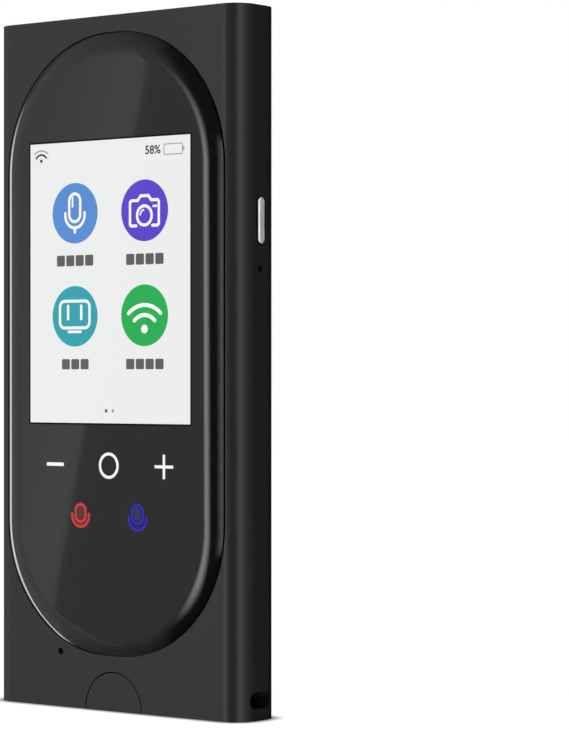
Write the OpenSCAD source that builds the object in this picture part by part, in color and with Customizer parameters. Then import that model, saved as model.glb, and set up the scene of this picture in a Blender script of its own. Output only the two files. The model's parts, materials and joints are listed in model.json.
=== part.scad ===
// Handheld translator. Millimetres, +Z up along its length, front face towards -Y.
// The origin is under the middle of its bottom end, centred on its whole thickness.

/* [Body] */
// Width of the body across its sides
body_w = 56.4; // [54:0.2:62]
// Length of the body from end to end
body_h = 120.5; // [118:0.5:132]
// Thickness of the body without the raised glass
body_d = 10.8; // [10.6:0.1:13]
// Rounding of the long front edges
front_edge_r = 3.8; // [2.6:0.1:4.2]
// Rounding of the long rear edges
rear_edge_r = 3.6; // [2.6:0.1:4]
// Thickness of the front wall
front_wall = 1.6; // [1.4:0.1:2]
// Thickness of the side walls
side_wall = 2.0; // [1.8:0.1:2.3]
// Thickness of the top end wall
top_wall = 2.0; // [1.8:0.1:3]
// Thickness of the wall between the charging port's recess and the inside
port_wall = 1.2; // [0.9:0.1:1.8]

/* [Cover glass] */
// Width of the glass
glass_w = 49.3; // [47:0.1:50]
// Width of the straight part of the glass's round top end
glass_top_flat = 2.5; // [0.5:0.1:6]
// Width of the straight part of the glass's round bottom end
glass_low_flat = 3.9; // [0.5:0.1:8]
// Distance from the glass up to the top end of the body
glass_top_margin = 3.25; // [2.5:0.05:4.5]
// Distance from the glass down to the bottom end of the body
glass_low_margin = 9.85; // [9.2:0.05:11]
// Thickness of the glass at its middle
glass_t = 1.7; // [1.6:0.05:2.4]
// Height of the glass above the front face
glass_proud = 1.2; // [1:0.05:1.6]
// Width of the curved border of the glass
glass_edge_run = 3.8; // [2:0.1:4.2]
// Radius of the curve along that border
glass_edge_r = 7.1; // [6.4:0.1:9]
// Gap round the glass in its seat
glass_gap = 0.3; // [0.15:0.05:0.5]
// Thickness of the black print behind the glass
print_t = 0.1; // [0.05:0.01:0.15]
// Thickness of the tape that holds the glass
tape_t = 0.15; // [0.1:0.01:0.25]
// Width of the tape ring
tape_w = 2.2; // [1.2:0.1:2.6]

/* [Screen] */
// Width of the lit area
screen_w = 36.72; // [34:0.1:37.5]
// Distance from the lit area up to the top end of the body
screen_top_margin = 21.72; // [20:0.02:24]
// Height of the lit area's lower edge above the bottom end
screen_low = 49.82; // [49:0.02:56]
// Dark border of the panel beside and above the lit area
panel_border = 3.0; // [1.5:0.1:3.2]
// Border of the panel below the lit area, where its driver sits
panel_foot = 4.6; // [3.5:0.1:5]
// Thickness of the panel
panel_t = 1.2; // [1:0.05:1.5]
// Thickness of the light unit behind the panel
backlight_t = 1.0; // [0.8:0.05:1.3]
// Width of the screen's ribbon
lcd_flex_w = 16; // [10:0.5:17]
// Thickness of every ribbon
flex_t = 0.15; // [0.1:0.01:0.2]

/* [Touch keys] */
// Drop of the upper key row below the lit area
key_row_drop = 7.32; // [6.8:0.02:9]
// Distance between the keys of the upper row
key_pitch = 12.5; // [10:0.1:13.5]
// Size of the upper row's marks
key_size = 4.5; // [3.5:0.1:5]
// Drop of the talk keys below the upper key row
talk_row_drop = 8.8; // [8:0.1:10]
// Distance between the two talk keys
talk_pitch = 13.1; // [11:0.1:15]
// Height of the talk keys' marks
talk_size = 4.7; // [4:0.1:5.2]
// Line width of all the marks
key_line = 0.55; // [0.3:0.05:0.7]
// Thickness of the coloured films behind the marks
film_t = 0.2; // [0.1:0.05:0.3]
// Thickness of the touch board
key_board_t = 0.6; // [0.4:0.05:0.8]
// Height of the lamps on the touch board
lamp_h = 0.4; // [0.3:0.05:0.5]

/* [Rear cover] */
// Distance from the body's outline in to the cover's edge
cover_inset = 1.45; // [1.2:0.05:1.7]
// Groove between the cover and the body
cover_gap = 0.2; // [0.1:0.05:0.3]
// Corner rounding of the cover
cover_corner_r = 2.2; // [1:0.1:4]
// Thickness of the cover
cover_t = 1.3; // [1.1:0.05:1.6]
// Length of a snap hook along the side
hook_l = 5; // [3:0.5:7]
// Depth of a snap hook below the cover
hook_h = 1.8; // [1.5:0.1:2.4]
// Reach of a hook's nose into its pocket
hook_nose = 0.45; // [0.3:0.05:0.6]

/* [Speaker slots] */
// Number of arc slots
slot_count = 6; // [3:1:6]
// Radius of the innermost slot about the lens
slot_first_r = 10.0; // [9:0.1:11]
// Distance from slot to slot
slot_pitch = 2.16; // [1.8:0.02:2.3]
// Width of a slot
slot_w = 0.9; // [0.6:0.05:1.1]
// Half angle of the innermost slot, in degrees
slot_angle_inner = 50; // [35:1:52]
// Half angle of the outermost slot, in degrees
slot_angle_outer = 45; // [30:1:47]
// Flare round each slot's mouth
slot_flare = 0.25; // [0.1:0.05:0.35]
// Thickness of the loudspeaker
speaker_t = 3.4; // [2.8:0.1:3.6]
// Width of the loudspeaker
speaker_w = 30.4; // [24:0.2:32]
// Height of the loudspeaker along the body
speaker_h = 16.4; // [13:0.2:16.6]
// Thickness of the speaker mesh
mesh_t = 0.1; // [0.05:0.01:0.15]

/* [Camera] */
// Distance from the lens's axis up to the top end of the body
camera_from_top = 33.9; // [33.5:0.1:35]
// Radius of the lens bezel
bezel_r = 4.6; // [4:0.1:5]
// Width of the bezel's rim round the window
bezel_rim = 0.4; // [0.25:0.05:0.6]
// Depth of the bezel's rim below the rear face
bezel_sink = 0.1; // [0.05:0.05:0.2]
// Thickness of the lens window
window_t = 0.5; // [0.3:0.05:0.6]
// Radius of the camera's barrel
barrel_r = 3.0; // [2.4:0.1:3.2]
// Side of the camera's square base
camera_base = 8.5; // [7:0.1:9]
// Height of the camera's base
camera_base_h = 2.2; // [1.6:0.1:2.6]

/* [Side controls] */
// Distance from the button's middle up to the top end of the body
button_from_top = 36.3; // [34:0.1:38]
// Length of the button along the body
button_l = 7.8; // [6:0.1:10]
// Width of the button across the body's thickness
button_w = 1.75; // [1.5:0.05:2.4]
// Height of the button above the side
button_proud = 0.45; // [0.2:0.05:0.6]
// Travel of the button
button_travel = 0.3; // [0.15:0.05:0.4]
// Gap round the button
button_gap = 0.25; // [0.1:0.01:0.3]
// Thickness of the flange that keeps the button in
flange_t = 0.55; // [0.4:0.05:0.7]
// Distance from the button's middle down to the reset pinhole
reset_drop = 8.1; // [7.5:0.1:10]
// Diameter of every pinhole
pinhole_d = 1.2; // [0.7:0.05:1.4]
// Travel of the reset plunger
reset_travel = 0.2; // [0.1:0.05:0.3]
// Side of a switch body along the board
switch_l = 3.2; // [2.6:0.1:3.6]
// Height of a switch body
switch_h = 2.0; // [1.6:0.1:2.1]
// Radius of the power switch's plunger
plunger_r = 0.7; // [0.5:0.05:0.9]

/* [Cord slot] */
// Width of the slot across the body's thickness
cord_slot_w = 5.2; // [4:0.1:5.6]
// Height of the slot
cord_slot_h = 2.8; // [2.4:0.1:3.4]
// Height of the slot's middle above the bottom end
cord_slot_z = 3.4; // [3.3:0.05:4]
// Width of the slot's way out through the bottom end
cord_exit_w = 2.8; // [2.2:0.1:3.2]
// Thickness of the bar that the cord loops round
cord_bar = 2.0; // [1.6:0.1:2.2]
// Wall round the cord slot
cord_wall = 1.3; // [0.9:0.1:1.6]

/* [Port cover] */
// Radius of the arch
flap_r = 6.25; // [5.8:0.05:6.8]
// Height of the arch's centre above the bottom end
flap_arch_z = 0.4; // [0.3:0.05:0.8]
// Gap round the port cover
flap_gap = 0.2; // [0.1:0.01:0.25]
// Thickness of the port cover
flap_t = 1.05; // [0.9:0.05:1.2]
// Rise of the cover's underside above the bottom end
flap_lift = 0.1; // [0.05:0.05:0.3]
// Gap behind the hinge barrel that lets the cover swing right open
flap_swing_gap = 0.3; // [0.25:0.05:0.5]
// Distance from the front face back to the hinge pin
flap_pin_back = 8.0; // [7.8:0.1:8.3]
// Radius of the hinge barrel
flap_barrel_r = 0.75; // [0.7:0.05:0.85]
// Radius of the hinge pin
flap_pin_r = 0.35; // [0.3:0.01:0.4]
// Running clearance round the hinge pin
flap_pin_play = 0.04; // [0.02:0.01:0.08]
// Length of pin held in the body at each end
flap_pin_seat = 1.3; // [1:0.1:2]
// Height of the charging port across the body's thickness
port_h = 3.26; // [3.2:0.02:3.3]
// Width of the charging port
port_w = 8.94; // [8.9:0.02:9]
// Depth of the charging port
port_depth = 7.3; // [6.8:0.1:8]

/* [Boards and battery] */
// Thickness of the main board and the port board
board_t = 0.8; // [0.6:0.05:1]
// Height of the main board along the body
board_h = 40; // [38:0.5:41]
// Distance from the board's edge to the side wall
board_side_gap = 1.3; // [1.25:0.05:2]
// Height of the posts between the inner frame and the main board
board_post_h = 1.4; // [1.3:0.05:1.8]
// Height of the shield can
can_h = 1.2; // [0.9:0.05:1.3]
// Thickness of the inner frame's plate
plate_t = 0.7; // [0.5:0.05:0.9]
// Gap between the inner frame and the walls
plate_gap = 0.3; // [0.15:0.05:0.4]
// Radius of the screw posts
post_r = 1.7; // [1.4:0.1:1.9]
// Radius of a screw's shank
screw_r = 0.7; // [0.5:0.05:0.8]
// Radius of a screw's head
screw_head_r = 1.25; // [1.1:0.05:1.4]
// Height of a screw's head
screw_head_h = 0.5; // [0.4:0.05:0.7]
// Distance from the battery to the side walls
battery_room = 9.2; // [8.2:0.1:12]
// Thickness of the battery
battery_t = 5.0; // [3.5:0.1:5.6]
// Height of the port board along the body
port_board_h = 13.1; // [12:0.1:16]
// Width of the microphone
mic_w = 3.4; // [2.8:0.1:3.8]
// Distance of the front pinhole from the middle
mic_x = 12.3; // [11.8:0.1:14]
// Height of the front pinhole above the bottom end
mic_z = 9.7; // [9:0.1:10.5]

/* [Hidden] */
$fn = 64;
eps = 0.01;

// Sides and faces of the body
half_w = body_w / 2;
front_y = -(body_d - glass_proud) / 2;
back_y = front_y + body_d;
mid_y = (front_y + back_y) / 2;
wall_in_y = front_y + front_wall;
seat_y = back_y - cover_t;
inner_x = half_w - side_wall;
inner_top = body_h - top_wall;
port_recess = flap_lift + flap_t + flap_gap;
inner_floor = port_recess + port_wall;

// Cover glass and what lies behind it
glass_h = body_h - glass_top_margin - glass_low_margin;
glass_mid_z = glass_low_margin + glass_h / 2;
glass_top_r = (glass_w - glass_top_flat) / 2;
glass_low_r = (glass_w - glass_low_flat) / 2;
glass_back_y = front_y - glass_proud + glass_t;
glass_side_h = glass_t - glass_edge_r + sqrt(pow(glass_edge_r, 2) - pow(glass_edge_run, 2));
print_back_y = glass_back_y + print_t;
tape_back_y = print_back_y + tape_t;
print_margin = 0.3;
window_margin = 0.25;
tape_inset = 0.1;
screen_top = body_h - screen_top_margin;
panel_w = screen_w + 2 * panel_border;
panel_top = screen_top + panel_border;
panel_low = screen_low - panel_foot;
panel_back_y = print_back_y + panel_t;
plate_y = panel_back_y + backlight_t;
plate_back_y = plate_y + plate_t;
panel_gap = 0.25;

// Touch keys
key_z = screen_low - key_row_drop;
talk_z = key_z - talk_row_drop;
film_margin = 1;
key_film_w = 2 * key_pitch + key_size + 2 * film_margin;
key_film_h = key_size + film_margin;
talk_film_w = talk_size + 2 * film_margin;
lamp_w = 1.6;
film_back_y = print_back_y + film_t;
lamp_back_y = film_back_y + lamp_h;
key_board_back_y = lamp_back_y + key_board_t;
key_board_top = panel_low - 2 * panel_gap;
key_board_low = talk_z - talk_size / 2 - 2 * film_margin;
key_board_w = key_film_w + 4 * film_margin;
opening_low = key_board_low - panel_gap;

// Main board, battery and the inner frame
board_y = plate_back_y + board_post_h;
board_back_y = board_y + board_t;
board_x = inner_x - board_side_gap;
board_top_gap = 7;
board_top = inner_top - board_top_gap;
board_low = board_top - board_h;
plate_x = inner_x - plate_gap;
plate_top = inner_top - plate_gap;
screw_play = 0.02;
screw_hole_r = screw_r + 0.15;
post_wall_gap = 1.7;
post_board_gap = 2.7;
screw_edge = 2.5;
frame_screw_x = inner_x - post_r - post_wall_gap;
cord_block_top = cord_slot_z + cord_slot_h / 2 + cord_wall;
cord_block_gap = 2.95;
frame_screw_low = cord_block_top + post_r + cord_block_gap;
frame_screw_top = inner_top - post_r - post_wall_gap;
plate_low = frame_screw_low - post_r - 1.5;
board_screw_x = board_x - screw_edge;
board_screw_x_low = board_x - 2 * screw_edge;
board_screw_top = board_top - screw_edge;
board_screw_low = board_low + screw_edge + 1.1;
port_standoff = 1.25;
port_board_y = wall_in_y + port_standoff;
port_board_back_y = port_board_y + board_t;
port_board_rise = 0.8;
port_board_low = inner_floor + port_board_rise;
port_board_top = port_board_low + port_board_h;
port_board_left = post_r + post_board_gap - frame_screw_x;
port_board_right = mic_x + mic_w / 2;
port_screw_x = [port_board_left + screw_edge, port_board_right - screw_edge];
port_screw_z = port_board_low + screw_edge;
port_rest_z = port_board_top - screw_edge;
bay_low = port_board_top + port_board_rise;
battery_w = 2 * (inner_x - battery_room);
battery_tape_t = 0.1;
battery_y = plate_back_y + battery_tape_t;
battery_low_gap = 2.1;
battery_top_gap = 2.9;
battery_low = port_board_top + battery_low_gap;
battery_top = board_low - battery_top_gap;
bay_rib_h = 1.3;
bay_rib_l = 5;
bay_rib_t = 0.8;
flex_window_w = lcd_flex_w + 2;
flex_window_low = key_board_top - 1.8;
key_ribbon_w = 4;
key_ribbon_x = -flex_window_w / 2 - key_ribbon_w / 2 - 0.5;
link_w = 3.8;
link_gap = 2.6;
link_end = 1.5;
link_x = -battery_w / 2 - link_w / 2 - link_gap;
plug_d = 2;
plug_rise = 3.5;
battery_plug_x = 6.5;
battery_plug_w = 5;
battery_plug_h = 3;
battery_plug_t = 1.7;
lead_r = 0.45;
lead_pitch = 2;

// Parts on the main board: left, low, right and high edges, as shares of its half width and height
front_chips = [[-0.6, 0.43, -0.12, 0.73], [0.08, 0.45, 0.52, 0.68]];
back_chips = [[-0.8, 0.15, -0.56, 0.3], [0.32, 0.2, 0.5, 0.31]];
chip_t = 0.8;
can_side_gap = 5.9;
can_low_gap = 7.5;
can_top_gap = 5.5;
can_wall = 0.2;
antenna_w = 26;
antenna_d = 6;
antenna_t = 0.2;
antenna_turns = 6;

// Charging port and its cover
port_y = port_board_back_y + port_h / 2;
port_low = port_recess + 0.1;
port_play = 0.15;
flap_pin_y = front_y + flap_pin_back;
flap_pin_z = flap_lift + flap_barrel_r;
arch_depth = flap_t + flap_gap;
recess_r = flap_r + flap_gap;

// Camera and loudspeaker
camera_z = body_h - camera_from_top;
bezel_flange_r = bezel_r + 1;
bezel_flange_t = 0.5;
bezel_play = 0.05;
window_r = bezel_r - bezel_rim;
bezel_front_y = back_y - bezel_sink;
window_back_y = bezel_front_y - 0.1;
window_seat_y = window_back_y - window_t;
barrel_end_y = window_seat_y - 0.2;
slot_end_inset = 0.03;
speaker_z = camera_z + bezel_flange_r + 0.5 + speaker_h / 2;
speaker_back_y = board_back_y + speaker_t;
mesh_y = seat_y - mesh_t;

// Side controls
button_z = body_h - button_from_top;
reset_z = button_z - reset_drop;
flange_rim = 0.55;
flange_out_x = half_w - side_wall + 0.65;
flange_in_x = flange_out_x - flange_t;
plunger_x = flange_in_x - 1.0;
plunger_h = 0.6;
switch_face_x = plunger_x - 0.4;
side_board_t = 0.6;
side_board_x = switch_face_x - switch_h;
side_board_d = 2 * (mid_y - plate_back_y);
side_board_low = reset_z - switch_l / 2 - 1.3;
side_board_top = button_z + switch_l / 2 + 2.4;
board_notch_x = side_board_x - side_board_t - 0.2;
reset_plunger_r = pinhole_d / 2 + 0.1;

// Cord slot
cord_exit_x = half_w - cord_bar - cord_exit_w / 2;
cord_block_x = cord_exit_x - cord_exit_w / 2 - cord_wall;

hook_end = 20;
hook_mid = 52;
hook_zs = [hook_end, hook_mid, body_h - hook_end];
hook_t = 0.9;
hook_play = 0.1;

// Extrudes a shape drawn in X and Z from y0 back to y1
module slab(y0, y1) {
  translate([0, y1, 0]) rotate([90, 0, 0]) linear_extrude(y1 - y0) children();
}

// Extrudes a shape drawn in Y and Z from x0 to x1
module side_slab(x0, x1) {
  translate([x0, 0, 0]) rotate([90, 0, 90]) linear_extrude(x1 - x0) children();
}

// Block between two corners
module block(low, high) {
  translate(low) cube(high - low);
}

// Cylinder along Y
module rod_y(r, y0, y1) {
  translate([0, y1, 0]) rotate([90, 0, 0]) cylinder(r = r, h = y1 - y0);
}

// Cylinder along X
module rod_x(r, x0, x1) {
  translate([x0, 0, 0]) rotate([0, 90, 0]) cylinder(r = r, h = x1 - x0);
}

// Upright shape with half round ends
module stadium(w, h) {
  for (s = [-1, 1]) translate([0, s * (h - w) / 2]) circle(w / 2);
  translate([-w / 2, -(h - w) / 2]) square([w, h - w]);
}

// Lying shape with half round ends
module lying_stadium(w, h) {
  rotate(90) stadium(h, w);
}

// Rectangle with rounded corners, given by its low and high corners
module rounded(low, high, r) {
  for (x = [low[0] + r, high[0] - r], y = [low[1] + r, high[1] - r]) translate([x, y]) circle(r);
  translate([low[0] + r, low[1]]) square([high[0] - low[0] - 2 * r, high[1] - low[1]]);
  translate([low[0], low[1] + r]) square([high[0] - low[0], high[1] - low[1] - 2 * r]);
}

// Outline of the glass, grown all round, or drawn in where grow is below zero
module glass_outline(grow) {
  for (end = [[1, glass_top_r], [-1, glass_low_r]]) {
    corner_x = glass_w / 2 - end[1];
    for (s = [-1, 1])
      translate([s * corner_x, glass_mid_z + end[0] * (glass_h / 2 - end[1])]) circle(end[1] + grow);
    translate([-corner_x, glass_mid_z + min(0, end[0] * (glass_h / 2 + grow))])
      square([2 * corner_x, glass_h / 2 + grow]);
  }
  translate([-glass_w / 2 - grow, glass_low_margin + glass_low_r])
    square([glass_w + 2 * grow, glass_h - glass_low_r - glass_top_r]);
}

// Cross section of the body, seen along its length
module body_section() {
  for (s = [-1, 1]) {
    translate([s * (half_w - front_edge_r), front_y + front_edge_r]) circle(front_edge_r);
    translate([s * (half_w - rear_edge_r), back_y - rear_edge_r]) circle(rear_edge_r);
  }
  translate([front_edge_r - half_w, front_y]) square([body_w - 2 * front_edge_r, body_d / 2]);
  translate([rear_edge_r - half_w, mid_y]) square([body_w - 2 * rear_edge_r, body_d / 2]);
  translate([-half_w, front_y + front_edge_r]) square([body_w, body_d - front_edge_r - rear_edge_r]);
}

// Outline of the rear cover, or of its pocket when grown by the groove
module cover_outline(grow) {
  x = half_w - cover_inset + grow;
  rounded([-x, cover_inset - grow], [x, body_h - cover_inset + grow], cover_corner_r + grow);
}

// Arch of the port cover, or of its recess when grown by the gap
module arch(r) {
  translate([0, flap_arch_z]) circle(r);
  translate([-r, flap_lift]) square([2 * r, flap_arch_z - flap_lift]);
}

// Opening in the glass's seat that the screen and the touch board stand in
module panel_opening() {
  rounded([-panel_w / 2 - panel_gap, opening_low], [panel_w / 2 + panel_gap, panel_top + panel_gap], 0.6);
}

// Pockets for the snap hooks in the side walls
module hook_pockets() {
  for (z = hook_zs, s = [-1, 1]) mirror([s < 0 ? 1 : 0, 0, 0])
    block([inner_x - eps, seat_y - hook_h - hook_play, z - hook_l / 2 - hook_play],
          [inner_x + hook_nose + hook_play, seat_y - hook_h / 2, z + hook_l / 2 + hook_play]);
}

// Recess of the charging port, open to the front and the bottom
module port_recess_cut() {
  slab(front_y - 1, front_y + arch_depth) arch(recess_r);
  block([-recess_r, front_y - 1, -1], [recess_r, flap_pin_y, port_recess]);
  translate([0, flap_pin_y, flap_pin_z]) rod_x(flap_barrel_r + flap_gap, -recess_r, recess_r);
  block([-recess_r, flap_pin_y - eps, -1],
        [recess_r, flap_pin_y + flap_barrel_r + flap_swing_gap, flap_pin_z]);
  translate([0, flap_pin_y, flap_pin_z]) rod_x(flap_pin_r, -recess_r - flap_pin_seat, recess_r + flap_pin_seat);
  translate([0, 0, -eps]) linear_extrude(inner_floor + 1) translate([0, port_y])
    lying_stadium(port_w + 2 * port_play, port_h + 2 * port_play);
}

// Way of the cord, in through the side and out through the bottom end
module cord_cut() {
  side_slab(cord_exit_x - cord_exit_w / 2, half_w + 1) translate([mid_y, cord_slot_z])
    lying_stadium(cord_slot_w, cord_slot_h);
  translate([0, 0, -1]) linear_extrude(cord_slot_z + 1) translate([cord_exit_x, mid_y])
    stadium(cord_exit_w, cord_slot_w - 0.4);
}

module front_housing() color([0.2, 0.2, 0.21]) {
  difference() {
    union() {
      difference() {
        linear_extrude(body_h) body_section();
        slab(wall_in_y, back_y + 1)
          translate([-inner_x, inner_floor]) square([2 * inner_x, inner_top - inner_floor]);
        slab(seat_y, back_y + 1) cover_outline(cover_gap);
        slab(front_y - 1, tape_back_y) glass_outline(glass_gap);
        slab(front_y - 1, wall_in_y + 1) panel_opening();
      }
      // Block round the cord slot
      block([cord_block_x, wall_in_y - eps, eps], [inner_x + eps, seat_y, cord_block_top]);
      // Wall behind the arch of the port cover
      block([-recess_r - 1.2, wall_in_y - eps, inner_floor - eps],
            [recess_r + 1.2, wall_in_y + 0.8, flap_arch_z + recess_r + 1.2]);
      // Posts of the inner frame and of the port board
      for (x = [-frame_screw_x, frame_screw_x], z = [frame_screw_low, frame_screw_top])
        translate([x, 0, z]) rod_y(post_r, wall_in_y - eps, plate_y);
      for (x = port_screw_x) {
        translate([x, 0, port_screw_z]) rod_y(post_r, wall_in_y - eps, port_board_y);
        translate([x, 0, port_rest_z]) rod_y(post_r - 0.5, wall_in_y - eps, port_board_y);
      }
    }
    port_recess_cut();
    cord_cut();
    hook_pockets();
    for (x = [-frame_screw_x, frame_screw_x], z = [frame_screw_low, frame_screw_top])
      translate([x, 0, z]) rod_y(screw_r + screw_play, front_y + 0.8, plate_y + 1);
    for (x = port_screw_x)
      translate([x, 0, port_screw_z]) rod_y(screw_r + screw_play, front_y + 0.8, port_board_y + 1);
    // Front microphone pinhole and side reset pinhole
    translate([-mic_x, 0, mic_z]) rod_y(pinhole_d / 2, front_y - 1, wall_in_y + 1);
    translate([0, mid_y, reset_z]) rod_x(pinhole_d / 2, inner_x - 1, half_w + 1);
    // Hole of the side button, with the pocket of its flange behind
    side_slab(inner_x - 1, half_w + 1) translate([mid_y, button_z])
      stadium(button_w + 2 * button_gap, button_l + 2 * button_gap);
    side_slab(inner_x - 1, flange_out_x) translate([mid_y, button_z])
      stadium(button_w + 2 * (flange_rim + button_gap), button_l + 2 * (flange_rim + button_gap));
  }
}

// One arc slot, with a flared mouth and round ends
module arc_slot(r, half_angle) {
  throat = [[-slot_w / 2, -1], [slot_w / 2, -1], [slot_w / 2, cover_t - slot_flare],
            [slot_w / 2 + slot_flare, cover_t], [slot_w / 2 + slot_flare, cover_t + 1],
            [-slot_w / 2 - slot_flare, cover_t + 1], [-slot_w / 2 - slot_flare, cover_t],
            [-slot_w / 2, cover_t - slot_flare]];
  translate([0, seat_y, camera_z]) rotate([-90, 0, 0]) {
    rotate(-90 - half_angle) rotate_extrude(angle = 2 * half_angle) translate([r, 0]) polygon(throat);
    for (a = [-half_angle, half_angle]) rotate(-90 + a) translate([r, 0, 0]) slot_end();
  }
}

// Round end of a slot, a hair narrower than the slot: a straight throat under a flared mouth
module slot_end() {
  r = slot_w / 2 - slot_end_inset;
  mouth_r = r + slot_flare;
  translate([0, 0, -1]) rotate_extrude() polygon([
    [0, 0], [r, 0], [r, cover_t + 1 - slot_flare], [mouth_r, cover_t + 1], [mouth_r, cover_t + 2], [0, cover_t + 2]
  ]);
}

module rear_cover() color([0.3, 0.3, 0.31]) {
  difference() {
    intersection() {
      linear_extrude(body_h) body_section();
      slab(seat_y, back_y + 1) cover_outline(0);
    }
    translate([0, 0, camera_z]) rod_y(bezel_r + bezel_play, seat_y - 1, back_y + 1);
    for (i = [0 : slot_count - 1])
      arc_slot(slot_first_r + i * slot_pitch,
               slot_angle_inner + (slot_angle_outer - slot_angle_inner) * i / (slot_count - 1));
  }
  // Snap hooks
  for (z = hook_zs, s = [-1, 1]) mirror([s < 0 ? 1 : 0, 0, 0]) {
    block([inner_x - hook_t - hook_play, seat_y - hook_h, z - hook_l / 2],
          [inner_x - hook_play, seat_y + eps, z + hook_l / 2]);
    block([inner_x - hook_play - eps, seat_y - hook_h, z - hook_l / 2],
          [inner_x + hook_nose, seat_y - hook_h / 2 - hook_play, z + hook_l / 2]);
  }
}

// Cross section of the glass out to its rim: r across, height towards the front
module glass_half_section(r) {
  intersection() {
    square([r, glass_t]);
    union() {
      square([r - glass_edge_run, glass_t]);
      square([r, glass_side_h]);
      translate([r - glass_edge_run, glass_t - glass_edge_r]) circle(glass_edge_r, $fn = 128);
    }
  }
}

module cover_glass() color([0.1, 0.1, 0.11, 0.35]) {
  translate([0, glass_back_y, glass_mid_z]) {
    for (s = [0, 1]) mirror([s, 0, 0]) translate([0, 0, glass_low_r - glass_h / 2])
      linear_extrude(glass_h - glass_low_r - glass_top_r) mirror([0, 1, 0]) glass_half_section(glass_w / 2);
    for (end = [[0, glass_top_r], [1, glass_low_r]]) mirror([0, 0, end[0]])
      translate([0, 0, glass_h / 2 - end[1]]) {
        corner_x = glass_w / 2 - end[1];
        for (s = [0, 1]) mirror([s, 0, 0]) translate([corner_x, 0, 0]) rotate([90, 0, 0])
          rotate_extrude(angle = 90, $fn = 96) glass_half_section(end[1]);
        translate([-corner_x, 0, 0]) rotate([180, -90, 0]) linear_extrude(2 * corner_x)
          glass_half_section(end[1]);
      }
  }
}

module minus_mark() {
  translate([-key_size / 2 + 0.3, -key_line / 2]) square([key_size - 0.6, key_line]);
}

module plus_mark() {
  translate([-key_size / 2, -key_line / 2]) square([key_size, key_line]);
  translate([-key_line / 2, -key_size / 2]) square([key_line, key_size]);
}

module circle_mark() {
  difference() {
    circle(key_size / 2);
    circle(key_size / 2 - key_line);
  }
}

// Microphone outline: a capsule in a round cradle
module talk_mark() {
  line = key_line * 0.75;
  cradle_r = talk_size * 0.48;
  capsule_w = talk_size * 0.56;
  capsule_h = talk_size * 0.76;
  translate([0, talk_size / 2 - capsule_h / 2]) difference() {
    stadium(capsule_w, capsule_h);
    stadium(capsule_w - 2 * line, capsule_h - 2 * line);
  }
  translate([0, cradle_r - talk_size / 2]) difference() {
    circle(cradle_r);
    circle(cradle_r - line);
    translate([-cradle_r - 1, 0.3]) square([2 * cradle_r + 2, cradle_r + 1]);
  }
}

// Clear marks in the black print
module key_marks() {
  translate([-key_pitch, key_z]) minus_mark();
  translate([0, key_z]) circle_mark();
  translate([key_pitch, key_z]) plus_mark();
  for (s = [-1, 1]) translate([s * talk_pitch / 2, talk_z]) talk_mark();
}

module glass_print() color([0.06, 0.06, 0.065]) {
  slab(glass_back_y, print_back_y) difference() {
    glass_outline(-print_margin);
    translate([-screen_w / 2 - window_margin, screen_low - window_margin])
      square([screen_w + 2 * window_margin, screen_top - screen_low + 2 * window_margin]);
    key_marks();
  }
}

module glass_tape() color([0.25, 0.25, 0.27]) {
  slab(print_back_y, tape_back_y) difference() {
    glass_outline(-print_margin - tape_inset);
    glass_outline(-print_margin - tape_inset - tape_w);
    panel_opening();
  }
}

module lcd_panel() color([0.93, 0.94, 0.95]) {
  block([-panel_w / 2, print_back_y, panel_low], [panel_w / 2, panel_back_y, panel_top]);
}

module lcd_backlight() color([0.75, 0.75, 0.78]) {
  block([-panel_w / 2, panel_back_y, panel_low], [panel_w / 2, plate_y, panel_top]);
}

// Ribbon from under a board's low edge, up through the frame's window and back to the main board
module folded_ribbon(w, start_y, start_z, plug_z) {
  fold_y = plate_y + flex_t;
  plug_y = board_y - can_h + 0.5;
  block([-w / 2, start_y, start_z - flex_t], [w / 2, fold_y, start_z]);
  block([-w / 2, plate_y, start_z - flex_t], [w / 2, fold_y, plug_z]);
  block([-w / 2, plate_y, plug_z - flex_t], [w / 2, plug_y + flex_t, plug_z]);
  block([-w / 2, plug_y, plug_z - flex_t], [w / 2, plug_y + flex_t, plug_z + 1]);
}

module lcd_flex() color([0.8, 0.5, 0.15]) {
  folded_ribbon(lcd_flex_w, print_back_y + panel_t / 2, panel_low, board_low + 2.5);
}

module key_ribbon() color([0.8, 0.5, 0.15]) {
  translate([key_ribbon_x, 0, 0])
    folded_ribbon(key_ribbon_w, key_board_back_y, key_board_top - 1, board_low + 2.5);
}

module key_film() color([0.95, 0.95, 0.95]) {
  block([-key_film_w / 2, print_back_y, key_z - key_film_h / 2],
        [key_film_w / 2, film_back_y, min(key_z + key_film_h / 2, key_board_top)]);
}

module talk_film(x) {
  block([x - talk_film_w / 2, print_back_y, talk_z - talk_film_w / 2],
        [x + talk_film_w / 2, film_back_y, min(talk_z + talk_film_w / 2, key_z - key_film_h / 2 - 0.1)]);
}

module talk_film_left() color([0.75, 0.12, 0.12]) talk_film(-talk_pitch / 2);

module talk_film_right() color([0.15, 0.12, 0.6]) talk_film(talk_pitch / 2);

module key_board() color([0.1, 0.35, 0.2]) {
  block([-key_board_w / 2, lamp_back_y, key_board_low], [key_board_w / 2, key_board_back_y, key_board_top]);
}

module key_lights() color([0.95, 0.9, 0.6]) {
  for (p = [[-key_pitch, key_z], [0, key_z], [key_pitch, key_z], [-talk_pitch / 2, talk_z],
            [talk_pitch / 2, talk_z]])
    block([p[0] - lamp_w / 2, film_back_y, p[1] - lamp_w / 4], [p[0] + lamp_w / 2, lamp_back_y, p[1] + lamp_w / 4]);
}

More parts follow.
